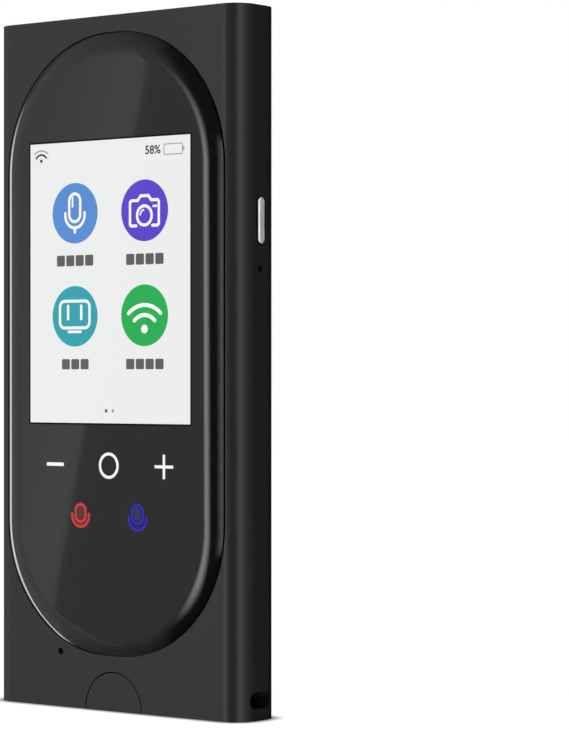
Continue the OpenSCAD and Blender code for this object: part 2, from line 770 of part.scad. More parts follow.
module inner_frame() color([0.62, 0.63, 0.66]) {
  difference() {
    union() {
      difference() {
        block([-plate_x, plate_y, plate_low], [plate_x, plate_back_y, plate_top]);
        block([port_board_left - 0.6, plate_y - 1, plate_low - 1],
              [port_board_right + 0.6, plate_back_y + 1, bay_low]);
        block([key_ribbon_x - key_ribbon_w / 2 - 0.5, plate_y - 1, flex_window_low],
              [flex_window_w / 2, plate_back_y + 1, board_low + plug_rise]);
      }
      // Posts of the main board
      for (p = board_screw_places()) translate([p[0], 0, p[1]]) rod_y(post_r, plate_back_y - eps, board_y);
      // Pads that carry the touch board
      for (x = [-1, 1], z = [key_board_low + 2, key_board_top - 3.6])
        translate([x * (key_board_w / 2 - 2), 0, z]) rod_y(1.2, key_board_back_y, plate_y + eps);
      // Corner ribs of the battery's bay
      for (x = [-1, 1], z = [battery_low - bay_rib_t - 0.1, battery_top + 0.1])
        translate([x * (battery_w - bay_rib_l) / 2 - bay_rib_l / 2, plate_back_y - eps, z])
          cube([bay_rib_l, bay_rib_h, bay_rib_t]);
    }
    for (p = board_screw_places())
      translate([p[0], 0, p[1]]) rod_y(screw_r + screw_play, plate_y - 1, board_y + 1);
    for (x = [-frame_screw_x, frame_screw_x], z = [frame_screw_low, frame_screw_top])
      translate([x, 0, z]) rod_y(screw_hole_r, plate_y - 1, plate_back_y + 1);
  }
}

function board_screw_places() = [
  [-board_screw_x, board_screw_top], [board_screw_x, board_screw_top],
  [-board_screw_x_low, board_screw_low], [board_screw_x_low, board_screw_low]
];

// Pan head screw along Y, its head's seat at y
module screw(y, l) {
  difference() {
    union() {
      rod_y(screw_head_r, y, y + screw_head_h);
      rod_y(screw_r, y - l, y + eps);
    }
    for (a = [0, 90]) rotate([0, a, 0])
      block([-0.7, y + screw_head_h - 0.25, -0.12], [0.7, y + screw_head_h + 1, 0.12]);
  }
}

module frame_screws() color([0.7, 0.7, 0.72]) {
  for (x = [-frame_screw_x, frame_screw_x], z = [frame_screw_low, frame_screw_top])
    translate([x, 0, z]) screw(plate_back_y, plate_back_y - front_y - 1);
}

module board_screws() color([0.7, 0.7, 0.72]) {
  for (p = board_screw_places()) translate([p[0], 0, p[1]]) screw(board_back_y, board_t + board_post_h);
}

module port_screws() color([0.7, 0.7, 0.72]) {
  for (x = port_screw_x)
    translate([x, 0, port_screw_z]) screw(port_board_back_y, port_board_back_y - front_y - 1);
}

module main_board() color([0.08, 0.3, 0.18]) {
  difference() {
    block([-board_x, board_y, board_low], [board_x, board_back_y, board_top]);
    block([board_notch_x, board_y - 1, side_board_low - 0.3], [board_x + 1, board_back_y + 1, side_board_top + 0.3]);
    for (p = board_screw_places()) translate([p[0], 0, p[1]]) rod_y(screw_hole_r, board_y - 1, board_back_y + 1);
  }
}

module shield_can() color([0.75, 0.76, 0.78]) {
  low = [can_side_gap - board_x, board_y - can_h, board_low + can_low_gap];
  high = [board_x - can_side_gap, board_y, board_top - can_top_gap];
  difference() {
    block(low, high);
    block([low[0] + can_wall, low[1] + can_wall, low[2] + can_wall],
          [high[0] - can_wall, high[1] + 1, high[2] - can_wall]);
  }
}

// Chip on the board between two depths, its edges given as shares of the board
module chip(edges, y0, y1) {
  block([edges[0] * board_x, y0, board_low + edges[1] * board_h],
        [edges[2] * board_x, y1, board_low + edges[3] * board_h]);
}

module board_chips() color([0.15, 0.15, 0.16]) {
  for (edges = front_chips) chip(edges, board_y - chip_t, board_y);
  for (edges = back_chips) chip(edges, board_back_y, board_back_y + chip_t);
}

module board_connectors() color([0.85, 0.83, 0.75]) {
  plug_y = board_y - can_h + 0.5 + flex_t;
  for (p = [[0, lcd_flex_w], [key_ribbon_x, key_ribbon_w]])
    block([p[0] - p[1] / 2, plug_y, board_low + plug_rise - plug_d / 2],
          [p[0] + p[1] / 2, board_y, board_low + plug_rise + plug_d / 2]);
  block([link_x - link_w / 2, port_board_back_y + flex_t, board_low],
        [link_x + link_w / 2, board_y, board_low + link_end]);
  // Plug that the battery's wires run into
  translate([battery_plug_x - battery_plug_w / 2, board_back_y, board_low + link_end / 2])
    cube([battery_plug_w, battery_plug_t, battery_plug_h]);
}

module battery() color([0.5, 0.52, 0.55]) {
  slab(battery_y, battery_y + battery_t)
    rounded([-battery_w / 2, battery_low], [battery_w / 2, battery_top], 1.2);
}

module battery_tape() color([0.9, 0.9, 0.85]) {
  side = battery_w / 2 - 0.5;
  block([-side, plate_back_y, battery_low + 4], [side, battery_y, flex_window_low - 1]);
  block([flex_window_w / 2 + 0.8, plate_back_y, flex_window_low], [side, battery_y, battery_top - 4]);
}

module battery_lead() color([0.75, 0.1, 0.1]) {
  for (side = [-1, 1])
    translate([battery_plug_x + side * lead_pitch / 2, board_back_y + battery_plug_t / 2, battery_top])
      cylinder(r = lead_r, h = board_low + link_end / 2 - battery_top);
}

module port_board() color([0.08, 0.3, 0.18]) {
  difference() {
    block([port_board_left, port_board_y, port_board_low], [port_board_right, port_board_back_y, port_board_top]);
    for (x = port_screw_x)
      translate([x, 0, port_screw_z]) rod_y(screw_hole_r, port_board_y - 1, port_board_back_y + 1);
  }
}

module usb_port() color([0.72, 0.73, 0.75]) {
  mouth_w = port_w - 0.6;
  mouth_h = port_h - 0.7;
  translate([0, port_y, port_low]) {
    difference() {
      linear_extrude(port_depth) lying_stadium(port_w, port_h);
      translate([0, 0, -1]) linear_extrude(port_depth - 0.5) lying_stadium(mouth_w, mouth_h);
    }
    // Tongue with the contacts
    translate([-3.35, -0.35, 1]) cube([6.7, 0.7, port_depth - 1.2]);
  }
}

module link_ribbon() color([0.8, 0.5, 0.15]) {
  y = [port_board_back_y, port_board_back_y + flex_t];
  low_z = port_rest_z - link_w / 2;
  block([link_x - link_w / 2, y[0], low_z], [link_x + link_w / 2, y[1], board_low + link_end]);
  block([link_x - link_w / 2, y[0], low_z], [port_board_left + link_w, y[1], low_z + link_w]);
}

module microphone() color([0.78, 0.72, 0.5]) {
  block([-mic_x - mic_w / 2, wall_in_y + 0.25, mic_z - mic_w * 0.4],
        [-mic_x + mic_w / 2, port_board_y, mic_z + mic_w * 0.4]);
}

module microphone_gasket() color([0.15, 0.15, 0.15]) {
  translate([-mic_x, 0, mic_z]) difference() {
    rod_y(1.3, wall_in_y, wall_in_y + 0.25);
    rod_y(pinhole_d / 2, wall_in_y - 1, wall_in_y + 1);
  }
}

module loudspeaker() color([0.18, 0.18, 0.19]) {
  difference() {
    slab(board_back_y, speaker_back_y) rounded([-speaker_w / 2, speaker_z - speaker_h / 2],
                                               [speaker_w / 2, speaker_z + speaker_h / 2], 2);
    slab(speaker_back_y - 0.6, speaker_back_y + 1)
      rounded([-speaker_w / 2 + 2.2, speaker_z - speaker_h / 2 + 2.2],
              [speaker_w / 2 - 2.2, speaker_z + speaker_h / 2 - 2.2], 3);
  }
}

module speaker_gasket() color([0.1, 0.1, 0.1]) {
  slab(speaker_back_y, mesh_y) difference() {
    rounded([-speaker_w / 2 + 0.2, speaker_z - speaker_h / 2 + 0.2],
            [speaker_w / 2 - 0.2, speaker_z + speaker_h / 2 - 0.2], 2);
    rounded([-speaker_w / 2 + 1.4, speaker_z - speaker_h / 2 + 1.4],
            [speaker_w / 2 - 1.4, speaker_z + speaker_h / 2 - 1.4], 2);
  }
}

module speaker_mesh() color([0.12, 0.12, 0.12]) {
  slab(mesh_y, seat_y) rounded([-speaker_w / 2 - 1.2, speaker_z - speaker_h / 2 - 0.1],
                               [speaker_w / 2 + 1.2, speaker_z + speaker_h / 2 + 0.8], 2);
}

module camera_module() color([0.1, 0.1, 0.12]) {
  base = camera_base / 2;
  difference() {
    union() {
      block([-base, board_back_y, camera_z - base], [base, board_back_y + camera_base_h, camera_z + base]);
      translate([0, 0, camera_z]) rod_y(barrel_r, board_back_y + camera_base_h - eps, barrel_end_y);
    }
    // Dished front of the lens
    translate([0, barrel_end_y - 0.8, camera_z]) rotate([-90, 0, 0]) cylinder(r1 = 1, r2 = barrel_r - 0.35, h = 0.9);
  }
}

module camera_ring() color([0.25, 0.25, 0.27]) {
  translate([0, 0, camera_z]) difference() {
    union() {
      rod_y(bezel_r, seat_y - eps, bezel_front_y);
      rod_y(bezel_flange_r, seat_y - bezel_flange_t, seat_y);
    }
    rod_y(barrel_r + 0.3, seat_y - 2, back_y + 1);
    rod_y(window_r, window_seat_y, back_y + 1);
  }
}

module camera_window() color([0.1, 0.2, 0.35, 0.5]) {
  translate([0, 0, camera_z]) rod_y(window_r, window_seat_y, window_back_y);
}

// Button with a domed face, a flange that keeps it in and a nub that meets the switch
module power_button() color([0.85, 0.86, 0.88]) {
  bevel = min(0.2, button_proud / 2);
  translate([0, mid_y, button_z]) {
    side_slab(flange_out_x - eps, half_w + button_proud - bevel) stadium(button_w, button_l);
    side_slab(half_w + button_proud - bevel - eps, half_w + button_proud)
      stadium(button_w - 2 * bevel, button_l - 2 * bevel);
    side_slab(flange_in_x, flange_out_x) stadium(button_w + 2 * flange_rim, button_l + 2 * flange_rim);
    rod_x(plunger_r, plunger_x, flange_in_x + eps);
  }
}

module power_plunger() color([0.2, 0.2, 0.22]) {
  translate([0, mid_y, button_z]) rod_x(plunger_r, plunger_x - plunger_h, plunger_x);
}

module reset_plunger() color([0.2, 0.2, 0.22]) {
  translate([0, mid_y, reset_z]) rod_x(reset_plunger_r, plunger_x - plunger_h, plunger_x);
}

// Switch body with a blind hole that leaves room for its plunger's travel
module switch_body(z, r, travel) {
  difference() {
    translate([side_board_x, mid_y - switch_l * 0.4, z - switch_l / 2]) cube([switch_h, switch_l * 0.8, switch_l]);
    translate([0, mid_y, z]) rod_x(r + 0.08, plunger_x - plunger_h - travel - 0.05, switch_face_x + 1);
  }
}

module power_switch() color([0.6, 0.6, 0.6]) switch_body(button_z, plunger_r, button_travel);

module reset_switch() color([0.6, 0.6, 0.6]) switch_body(reset_z, reset_plunger_r, reset_travel);

module side_board() color([0.08, 0.3, 0.18]) {
  block([side_board_x - side_board_t, mid_y - side_board_d / 2, side_board_low],
        [side_board_x, mid_y + side_board_d / 2, side_board_top]);
}

// Port cover: an arch in the front face, a sole under the port and a hinge barrel behind
module port_flap() color([0.22, 0.22, 0.23]) {
  difference() {
    union() {
      slab(front_y, front_y + flap_t) arch(flap_r);
      block([-flap_r, front_y, flap_lift], [flap_r, flap_pin_y, flap_lift + flap_t]);
      translate([0, flap_pin_y, flap_pin_z]) rod_x(flap_barrel_r, -flap_r, flap_r);
    }
    block([-flap_r - 1, front_y - 1, -flap_r - 1], [flap_r + 1, back_y, flap_lift]);
    translate([0, flap_pin_y, flap_pin_z]) rod_x(flap_pin_r + flap_pin_play, -flap_r - 1, flap_r + 1);
  }
}

module flap_pin() color([0.7, 0.7, 0.72]) {
  translate([0, flap_pin_y, flap_pin_z]) rod_x(flap_pin_r, -recess_r - flap_pin_seat, recess_r + flap_pin_seat);
}

// Printed radio antenna on the inside of the top end wall
module radio_antenna() color([0.8, 0.5, 0.15]) {
  difference() {
    block([-antenna_w / 2, mid_y - antenna_d / 2, inner_top - antenna_t],
          [antenna_w / 2, mid_y + antenna_d / 2, inner_top]);
    for (i = [0 : antenna_turns - 1]) {
      step = antenna_w / (antenna_turns + 0.5);
      x = (i - (antenna_turns - 1) / 2) * step;
      y = mid_y + (i % 2 == 0 ? -0.2 : 0.2) * antenna_d;
      block([x - step / 10, y - 0.4 * antenna_d, inner_top - 1], [x + step / 10, y + 0.4 * antenna_d, inner_top + 1]);
    }
  }
}

front_housing();
rear_cover();
cover_glass();
glass_print();
glass_tape();
lcd_panel();
lcd_backlight();
lcd_flex();
key_film();
talk_film_left();
talk_film_right();
key_board();
key_lights();
key_ribbon();
inner_frame();
frame_screws();
main_board();
board_screws();
shield_can();
board_chips();
board_connectors();
battery();
battery_tape();
battery_lead();
port_board();
port_screws();
usb_port();
link_ribbon();
microphone();
microphone_gasket();
loudspeaker();
speaker_gasket();
speaker_mesh();
camera_module();
camera_ring();
camera_window();
power_button();
power_plunger();
power_switch();
reset_plunger();
reset_switch();
side_board();
port_flap();
flap_pin();
radio_antenna();
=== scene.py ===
# %% [markdown]
# # A pocket translator, dressed for its portrait
# The object is a slim hand-held device: a satin black housing, a raised pebble of black glass with a
# lit screen and lit touch keys, a bright side button, and a back with a lens and a loudspeaker grille.
# Its exact solids are loaded first and never moved. The outer shells are made from them, and the
# glass, the button, the cloth and the port's contacts take their places from the solids' boxes. Other
# sizes and places, such as those of the lens and of the signs on the screen, are typed in
# millimetres. Blender works in metres, and `mm` keeps the numbers readable.

# %% Load the solids
import json
import math

import bmesh
import bpy
from mathutils import Matrix, Vector

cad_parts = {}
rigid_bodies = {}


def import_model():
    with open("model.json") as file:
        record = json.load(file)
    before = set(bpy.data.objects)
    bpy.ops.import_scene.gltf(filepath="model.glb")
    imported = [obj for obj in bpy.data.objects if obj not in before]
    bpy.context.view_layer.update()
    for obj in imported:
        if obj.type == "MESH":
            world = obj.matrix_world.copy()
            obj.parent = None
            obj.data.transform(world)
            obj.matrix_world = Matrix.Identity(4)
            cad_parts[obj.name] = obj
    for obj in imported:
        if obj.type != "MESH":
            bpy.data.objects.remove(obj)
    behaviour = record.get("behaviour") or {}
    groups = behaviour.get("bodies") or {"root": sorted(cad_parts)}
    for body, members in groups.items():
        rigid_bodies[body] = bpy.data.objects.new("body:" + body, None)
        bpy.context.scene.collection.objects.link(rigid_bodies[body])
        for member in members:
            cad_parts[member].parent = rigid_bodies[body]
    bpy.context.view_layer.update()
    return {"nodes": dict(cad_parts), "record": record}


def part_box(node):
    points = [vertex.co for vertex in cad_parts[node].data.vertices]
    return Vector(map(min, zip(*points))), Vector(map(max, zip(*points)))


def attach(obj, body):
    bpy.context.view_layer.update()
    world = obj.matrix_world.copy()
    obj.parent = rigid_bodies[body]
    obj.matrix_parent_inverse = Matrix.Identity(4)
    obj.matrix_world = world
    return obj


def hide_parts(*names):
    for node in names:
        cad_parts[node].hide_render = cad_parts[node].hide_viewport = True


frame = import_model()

mm = 0.001
nodes = frame["nodes"]
scene = bpy.context.scene

# %% [markdown]
# ## Camera
# A product picture is taken from far away with a long lens, so that upright edges stay upright. The
# camera looks level, about 38 degrees round from the front, and the frame is moved up a touch with the
# lens shift instead of tilting the camera, as with a view camera.

# %% Camera
CAMERA_SPOT = (323.7 * mm, -371.15 * mm, 58.17 * mm)
CAMERA_TURN = math.radians(37.99)
CAMERA_LENS = 139.35
CAMERA_SHIFT_UP = 0.0144


def make_camera():
    data = bpy.data.cameras.new("product_camera")
    data.sensor_width = 36
    data.lens = CAMERA_LENS
    data.shift_y = CAMERA_SHIFT_UP
    data.clip_start = 0.01
    camera = bpy.data.objects.new("product_camera", data)
    camera.location = CAMERA_SPOT
    camera.rotation_euler = (math.pi / 2, 0, CAMERA_TURN)
    scene.collection.objects.link(camera)
    scene.camera = camera


make_camera()
scene.view_settings.view_transform = "Standard"
print("camera stands", round(math.dist(CAMERA_SPOT, (0, 0, 0)), 3), "m away")

# %% [markdown]
# ## Node arithmetic and soft edges
# `sums` writes one line of node arithmetic. A card of light has soft edges, so `rise` goes from 0 to
# 1 in a smooth curve between two values, and `fall` goes back to 0. `band` does both. A card is then
# a band round the room times a band up and down times its strength.


# %% Sums, rises and bands
def sums(tree, operation, *values):
    """One step of arithmetic between numbers and sockets."""
    node = tree.nodes.new("ShaderNodeMath")
    node.operation = operation
    for socket, value in zip(node.inputs, values):
        if isinstance(value, bpy.types.NodeSocket):
            tree.links.new(value, socket)
        else:
            socket.default_value = value
    return node.outputs[0]


def rise(tree, value, start, end):
    """0 below start, 1 above end and a smooth curve between them."""
    edge = tree.nodes.new("ShaderNodeMapRange")
    edge.interpolation_type = "SMOOTHSTEP"
    edge.inputs["From Min"].default_value = start
    edge.inputs["From Max"].default_value = end
    tree.links.new(value, edge.inputs["Value"])
    return edge.outputs["Result"]


def fall(tree, value, start, end):
    """1 below start and 0 above end."""
    return sums(tree, "SUBTRACT", 1, rise(tree, value, start, end))


def band(tree, value, start, full, fade, end):
    """Goes from 0 to 1 between start and full, and back to 0 between fade and end."""
    return sums(tree, "MULTIPLY", rise(tree, value, start, full), fall(tree, value, fade, end))


def product(tree, *factors):
    total = factors[0]
    for factor in factors[1:]:
        total = sums(tree, "MULTIPLY", total, factor)
    return total


def total_of(tree, *terms):
    total = terms[0]
    for term in terms[1:]:
        total = sums(tree, "ADD", total, term)
    return total


# %% [markdown]
# ## Studio
# A black, shiny object shows mostly what it reflects, so what stands round the table makes the
# picture. A real studio hangs soft white cards and black cards there. Here one tall ring stands for
# all of them. Its glow is a sum of soft-edged cards, placed in degrees along and above the horizon,
# and only reflections see it. A photographer also shades some cards with flags, so that only one part
# catches them. Light linking does that here: a second ring shines on the glass alone, a flat card
# only on the rear panel, and a small lamp on the button's bright cap. The world is an even white
# dome, dim where it lights matt colours, and two large lamps light the front and the back.

# %% Plain light from all round
DOME_LIGHT = 0.33


def light_world():
    world = bpy.data.worlds.new("white_dome")
    scene.world = world
    world.use_nodes = True
    tree = world.node_tree
    tree.nodes.clear()
    out = tree.nodes.new("ShaderNodeOutputWorld")
    path = tree.nodes.new("ShaderNodeLightPath")
    seen = tree.nodes.new("ShaderNodeBackground")
    seen.inputs["Strength"].default_value = 1.0
    seen.inputs["Color"].default_value = (1, 1, 1, 1)
    lights = tree.nodes.new("ShaderNodeBackground")
    lights.inputs["Color"].default_value = (1, 1, 1, 1)
    lights.inputs["Strength"].default_value = DOME_LIGHT
    either = sums(tree, "MAXIMUM", path.outputs["Is Camera Ray"], path.outputs["Is Glossy Ray"])
    either = sums(tree, "MAXIMUM", either, path.outputs["Is Transmission Ray"])
    mix = tree.nodes.new("ShaderNodeMixShader")
    tree.links.new(either, mix.inputs["Fac"])
    tree.links.new(lights.outputs[0], mix.inputs[1])
    tree.links.new(seen.outputs[0], mix.inputs[2])
    tree.links.new(mix.outputs[0], out.inputs["Surface"])


light_world()
print("dome lights matt colours at", DOME_LIGHT)

# %% Where on the ring
RING_RADIUS = 1.3
RING_LOW, RING_HIGH = -4.5, 5.0
HORIZON = CAMERA_SPOT[2]


def ring_places(tree):
    """Degrees round, where 0 is straight in front and plus is to the right, degrees up, and metres up."""
    place = tree.nodes.new("ShaderNodeTexCoord")
    split = tree.nodes.new("ShaderNodeSeparateXYZ")
    tree.links.new(place.outputs["Object"], split.inputs[0])
    height = sums(tree, "SUBTRACT", split.outputs["Z"], HORIZON)
    ahead = sums(tree, "MULTIPLY", split.outputs["Y"], -1)
    around = sums(tree, "DEGREES", sums(tree, "ARCTAN2", split.outputs["X"], ahead))
    up = sums(tree, "DEGREES", sums(tree, "ARCTAN2", height, RING_RADIUS))
    return around, up, height


# %% Cards that every surface sees
EDGE_AROUND, EDGE_LEAN = -41.8, 7.5
LEFT_CARD, LEFT_CARD_EDGE, DARK_CARD, DARKEST = 0.43, 0.14, 0.27, 0.01
FOOT_SHARE, END_SHARE, WALL_SHARE = 0.75, 0.4, 0.3
FRONT_CARD, FRONT_CARD_LEAN = 2.1, 0.33


def left_and_dark_cards(tree, around, up, height):
    """The left card is dimmer at its far side and below a slanting foot, and a little brighter along
    the straight slanted edge that cuts it. A darker card stands to the right of that edge."""
    edge = total_of(tree, sums(tree, "MULTIPLY", height, EDGE_LEAN), EDGE_AROUND)
    past_edge = sums(tree, "SUBTRACT", around, edge)
    # Above the flat part of the glass the straight edge turns into a soft change
    steep = rise(tree, up, 6, 25)
    straight = product(tree, sums(tree, "LESS_THAN", past_edge, 0), sums(tree, "SUBTRACT", 1, steep))
    left_of_edge = total_of(tree, straight, product(tree, steep, fall(tree, around, -65, -25)))
    body = total_of(tree, product(tree, rise(tree, past_edge, -3, 0), LEFT_CARD_EDGE), LEFT_CARD)
    far_side = total_of(tree, product(tree, rise(tree, around, -101, -97), 0.5),
                        product(tree, rise(tree, around, -82, -76), 0.5))
    above_foot = sums(tree, "SUBTRACT", up, product(tree, total_of(tree, around, 45), 0.85))
    foot = total_of(tree, product(tree, rise(tree, above_foot, -12, -6), 1 - FOOT_SHARE), FOOT_SHARE)
    left_card = product(tree, body, far_side, foot, left_of_edge)
    dark_card = total_of(tree, product(tree, fall(tree, around, -36, -16), DARK_CARD), DARKEST)
    dark_card = product(tree, dark_card, sums(tree, "SUBTRACT", 1, left_of_edge))
    ends = total_of(tree, product(tree, band(tree, up, -50, -15, 10, 60), 1 - END_SHARE), END_SHARE)
    return product(tree, total_of(tree, left_card, dark_card), ends)


def card_glow(tree):
    """Glow of the ring at each place; 1 is white."""
    around, up, height = ring_places(tree)
    # Soft bright card in front, which leans to the right towards its foot
    bounded = sums(tree, "MAXIMUM", sums(tree, "MINIMUM", up, 8), -24)
    leaned = total_of(tree, around, product(tree, total_of(tree, bounded, 4), FRONT_CARD_LEAN))
    front_card = product(tree, band(tree, leaned, -34, -23, -22, -7),
                         band(tree, up, -33, -13, 3, 20), FRONT_CARD)

    # Tall card at the right and a dim wide one behind it, which fades out round the side
    wall_behind = product(tree, fall(tree, around, 80, 160), WALL_SHARE)
    tall_side = total_of(tree, fall(tree, around, 58, 88), wall_behind)
    tall_card = product(tree, rise(tree, around, 36, 50), tall_side, fall(tree, up, 40, 80))
    return total_of(tree, left_and_dark_cards(tree, around, up, height), front_card, tall_card)


# %% Cards for the glass alone
BRIGHT_STRIP, LOW_CARD = 3, 0.9


def glass_card_glow(tree):
    """A bright strip at the far left and a low card at the right, both at the height of the horizon."""
    around, up, _ = ring_places(tree)
    strip = product(tree, band(tree, around, -100, -96, -87, -83),
                    band(tree, up, -44, -28, 4, 20), BRIGHT_STRIP)
    low_card = product(tree, band(tree, around, 5, 28, 38, 41),
                       band(tree, up, -18, -12, 12, 18), LOW_CARD)
    return total_of(tree, strip, low_card)


# %% Rings of cards
def add_stage_card(name, mesh, glow_rule, see_through):
    """A glowing card that only reflections see; a see-through one lets what is behind it shine on."""
    material = bpy.data.materials.new(name)
    material.use_nodes = True
    tree = material.node_tree
    tree.nodes.clear()
    glow = tree.nodes.new("ShaderNodeEmission")
    tree.links.new(glow_rule(tree), glow.inputs["Strength"])
    surface = glow.outputs[0]
    if see_through:
        clear = tree.nodes.new("ShaderNodeBsdfTransparent")
        both = tree.nodes.new("ShaderNodeAddShader")
        tree.links.new(surface, both.inputs[0])
        tree.links.new(clear.outputs[0], both.inputs[1])
        surface = both.outputs[0]
    out = tree.nodes.new("ShaderNodeOutputMaterial")
    tree.links.new(surface, out.inputs["Surface"])
    mesh.materials.append(material)
    card = bpy.data.objects.new(name, mesh)
    scene.collection.objects.link(card)
    card.visible_camera = False
    card.visible_diffuse = False
    card.visible_transmission = False
    card.visible_shadow = False
    return card


def make_ring(name, radius, glow_rule, see_through):
    bm = bmesh.new()
    bmesh.ops.create_cone(bm, segments=240, radius1=radius, radius2=radius, depth=RING_HIGH - RING_LOW)
    bmesh.ops.translate(bm, verts=bm.verts, vec=(0, 0, (RING_LOW + RING_HIGH) / 2))
    mesh = bpy.data.meshes.new(name)
    bm.to_mesh(mesh)
    bm.free()
    return add_stage_card(name, mesh, glow_rule, see_through)


make_ring("ring_of_cards", RING_RADIUS, card_glow, False)
glass_ring = make_ring("glass_cards", RING_RADIUS * 0.98, glass_card_glow, True)
lit_by_glass_cards = bpy.data.collections.new("lit_by_glass_cards")
glass_ring.light_linking.receiver_collection = lit_by_glass_cards

# %% A flat card behind the rear panel
REAR_CARD_Y = 0.15
FAR_GLOW, NEAR_GLOW = 11, 0.3


def rear_card_glow(tree):
    """Dim straight behind the panel and brighter to the far side, so the panel shows a slow gradient."""
    place = tree.nodes.new("ShaderNodeTexCoord")
    split = tree.nodes.new("ShaderNodeSeparateXYZ")
    tree.links.new(place.outputs["Object"], split.inputs[0])
    far_side = product(tree, fall(tree, split.outputs["X"], -0.27, -0.18), FAR_GLOW)
    near_side = product(tree, rise(tree, split.outputs["X"], 0.05, 0.3), NEAR_GLOW)
    return total_of(tree, far_side, near_side)


def make_rear_card():
    corners = [(-0.5, -0.5), (0.3, -0.5), (0.3, 0.7), (-0.5, 0.7)]
    mesh = bpy.data.meshes.new("rear_card")
    mesh.from_pydata([(x, REAR_CARD_Y, z) for x, z in corners], [], [(0, 1, 2, 3)])
    return add_stage_card("rear_card", mesh, rear_card_glow, True)


rear_card = make_rear_card()
lit_by_rear_card = bpy.data.collections.new("lit_by_rear_card")
rear_card.light_linking.receiver_collection = lit_by_rear_card


# %% Lamps
def soft_lamp(name, spot, size, power):
    """A round lamp that points at the foot of the object and isn't seen in reflections."""
    data = bpy.data.lights.new(name, "AREA")
    data.shape = "DISK"
    data.size = size
    data.energy = power
    lamp = bpy.data.objects.new(name, data)
    lamp.location = spot
    lamp.rotation_euler = (-Vector(spot)).to_track_quat("-Z", "Y").to_euler()
    lamp.visible_camera = False
    lamp.visible_glossy = False
    scene.collection.objects.link(lamp)
    return lamp


LAMP_SIZE, CAP_LAMP_SIZE = 1.2, 0.3
FRONT_POWER, REAR_POWER, CAP_POWER = 58, 5, 18
soft_lamp("front_lamp", (-0.7, -1.1, 1.3), LAMP_SIZE, FRONT_POWER)
soft_lamp("rear_lamp", (-0.7, 1.1, 1.3), LAMP_SIZE, REAR_POWER)
cap_lamp = soft_lamp("cap_lamp", (0.1, -1.2, 0.25), CAP_LAMP_SIZE, CAP_POWER)
lit_by_cap_lamp = bpy.data.collections.new("lit_by_cap_lamp")
cap_lamp.light_linking.receiver_collection = lit_by_cap_lamp

# %% [markdown]
# ## Floor
# White paper under plain light washes out to white, except right at the foot of the object, where it
# sits in its own shadow. The paper's glow is therefore dimmed by an Ambient Occlusion node, which
# measures how much of the sky is covered within a few millimetres, and a little real shadow stays.

# %% Floor
FLOOR_REACH = 6.0
FLOOR_GLOW = 0.96
CONTACT_REACH, CONTACT_DEPTH = 2.5 * mm, 2.6
OPEN_GLOW = 1.04


def make_floor():
    bm = bmesh.new()
    bmesh.ops.create_circle(bm, cap_ends=True, radius=FLOOR_REACH, segments=96)
    mesh = bpy.data.meshes.new("floor")
    bm.to_mesh(mesh)
    bm.free()
    floor = bpy.data.objects.new("floor", mesh)
    scene.collection.objects.link(floor)
    material = bpy.data.materials.new("floor_paper")
    material.use_nodes = True
    tree = material.node_tree
    tree.nodes.clear()
    out = tree.nodes.new("ShaderNodeOutputMaterial")
    paper = tree.nodes.new("ShaderNodeBsdfDiffuse")
    paper.inputs["Color"].default_value = (0.9, 0.9, 0.9, 1)
    glow = tree.nodes.new("ShaderNodeEmission")
    path = tree.nodes.new("ShaderNodeLightPath")
    sky = tree.nodes.new("ShaderNodeAmbientOcclusion")
    sky.samples = 16
    sky.inputs["Distance"].default_value = CONTACT_REACH
    dimmed = product(tree, sums(tree, "POWER", sky.outputs["AO"], CONTACT_DEPTH), OPEN_GLOW)
    tree.links.new(dimmed, glow.inputs["Strength"])
    mix = tree.nodes.new("ShaderNodeMixShader")
    tree.links.new(sums(tree, "MULTIPLY", path.outputs["Is Camera Ray"], FLOOR_GLOW), mix.inputs["Fac"])
    tree.links.new(paper.outputs[0], mix.inputs[1])
    tree.links.new(glow.outputs[0], mix.inputs[2])
    tree.links.new(mix.outputs[0], out.inputs["Surface"])
    mesh.materials.append(material)
    floor.visible_glossy = False


make_floor()

# %% [markdown]
# ## Shared surface effects
# Some effects come back in many finishes, so each is a node group: the fine grain of a moulded or
# sprayed surface, the faint unevenness that hands and polishing leave, and the pull marks of drawn or
# brushed metal. A group only puts out tones and heights. The shader itself stays in each material.


# %% Node group helpers
def new_group(name, numbers, outputs):
    """An empty node group with number inputs {name: value} and number outputs."""
    group = bpy.data.node_groups.new(name, "ShaderNodeTree")
    for label, value in numbers.items():
        socket = group.interface.new_socket(label, in_out="INPUT", socket_type="NodeSocketFloat")
        socket.default_value = value
    for label in outputs:
        group.interface.new_socket(label, in_out="OUTPUT", socket_type="NodeSocketFloat")
    return group, group.nodes.new("NodeGroupInput"), group.nodes.new("NodeGroupOutput")


def object_point(tree):
    """Position on the piece, in metres."""
    return tree.nodes.new("ShaderNodeTexCoord").outputs["Object"]


def remap(tree, value, low, high):
    """A 0 to 1 value spread evenly from low to high; low and high are numbers or sockets."""
    node = tree.nodes.new("ShaderNodeMapRange")
    tree.links.new(value, node.inputs["Value"])
    for label, number in (("To Min", low), ("To Max", high)):
        if isinstance(number, (int, float)):
            node.inputs[label].default_value = number
        else:
            tree.links.new(number, node.inputs[label])
    return node.outputs["Result"]


# %% Grain, handling and pull marks
def build_grain():
    group, inside, out = new_group("surface_grain", {"Grain per metre": 6000, "Softness": 0.5},
                                   ("Height", "Tone"))
    noise = group.nodes.new("ShaderNodeTexNoise")
    noise.inputs["Detail"].default_value = 3
    group.links.new(object_point(group), noise.inputs["Vector"])
    group.links.new(inside.outputs["Grain per metre"], noise.inputs["Scale"])
    group.links.new(inside.outputs["Softness"], noise.inputs["Roughness"])
    group.links.new(noise.outputs["Fac"], out.inputs["Height"])
    group.links.new(remap(group, noise.outputs["Fac"], 0.8, 1.2), out.inputs["Tone"])
    return group


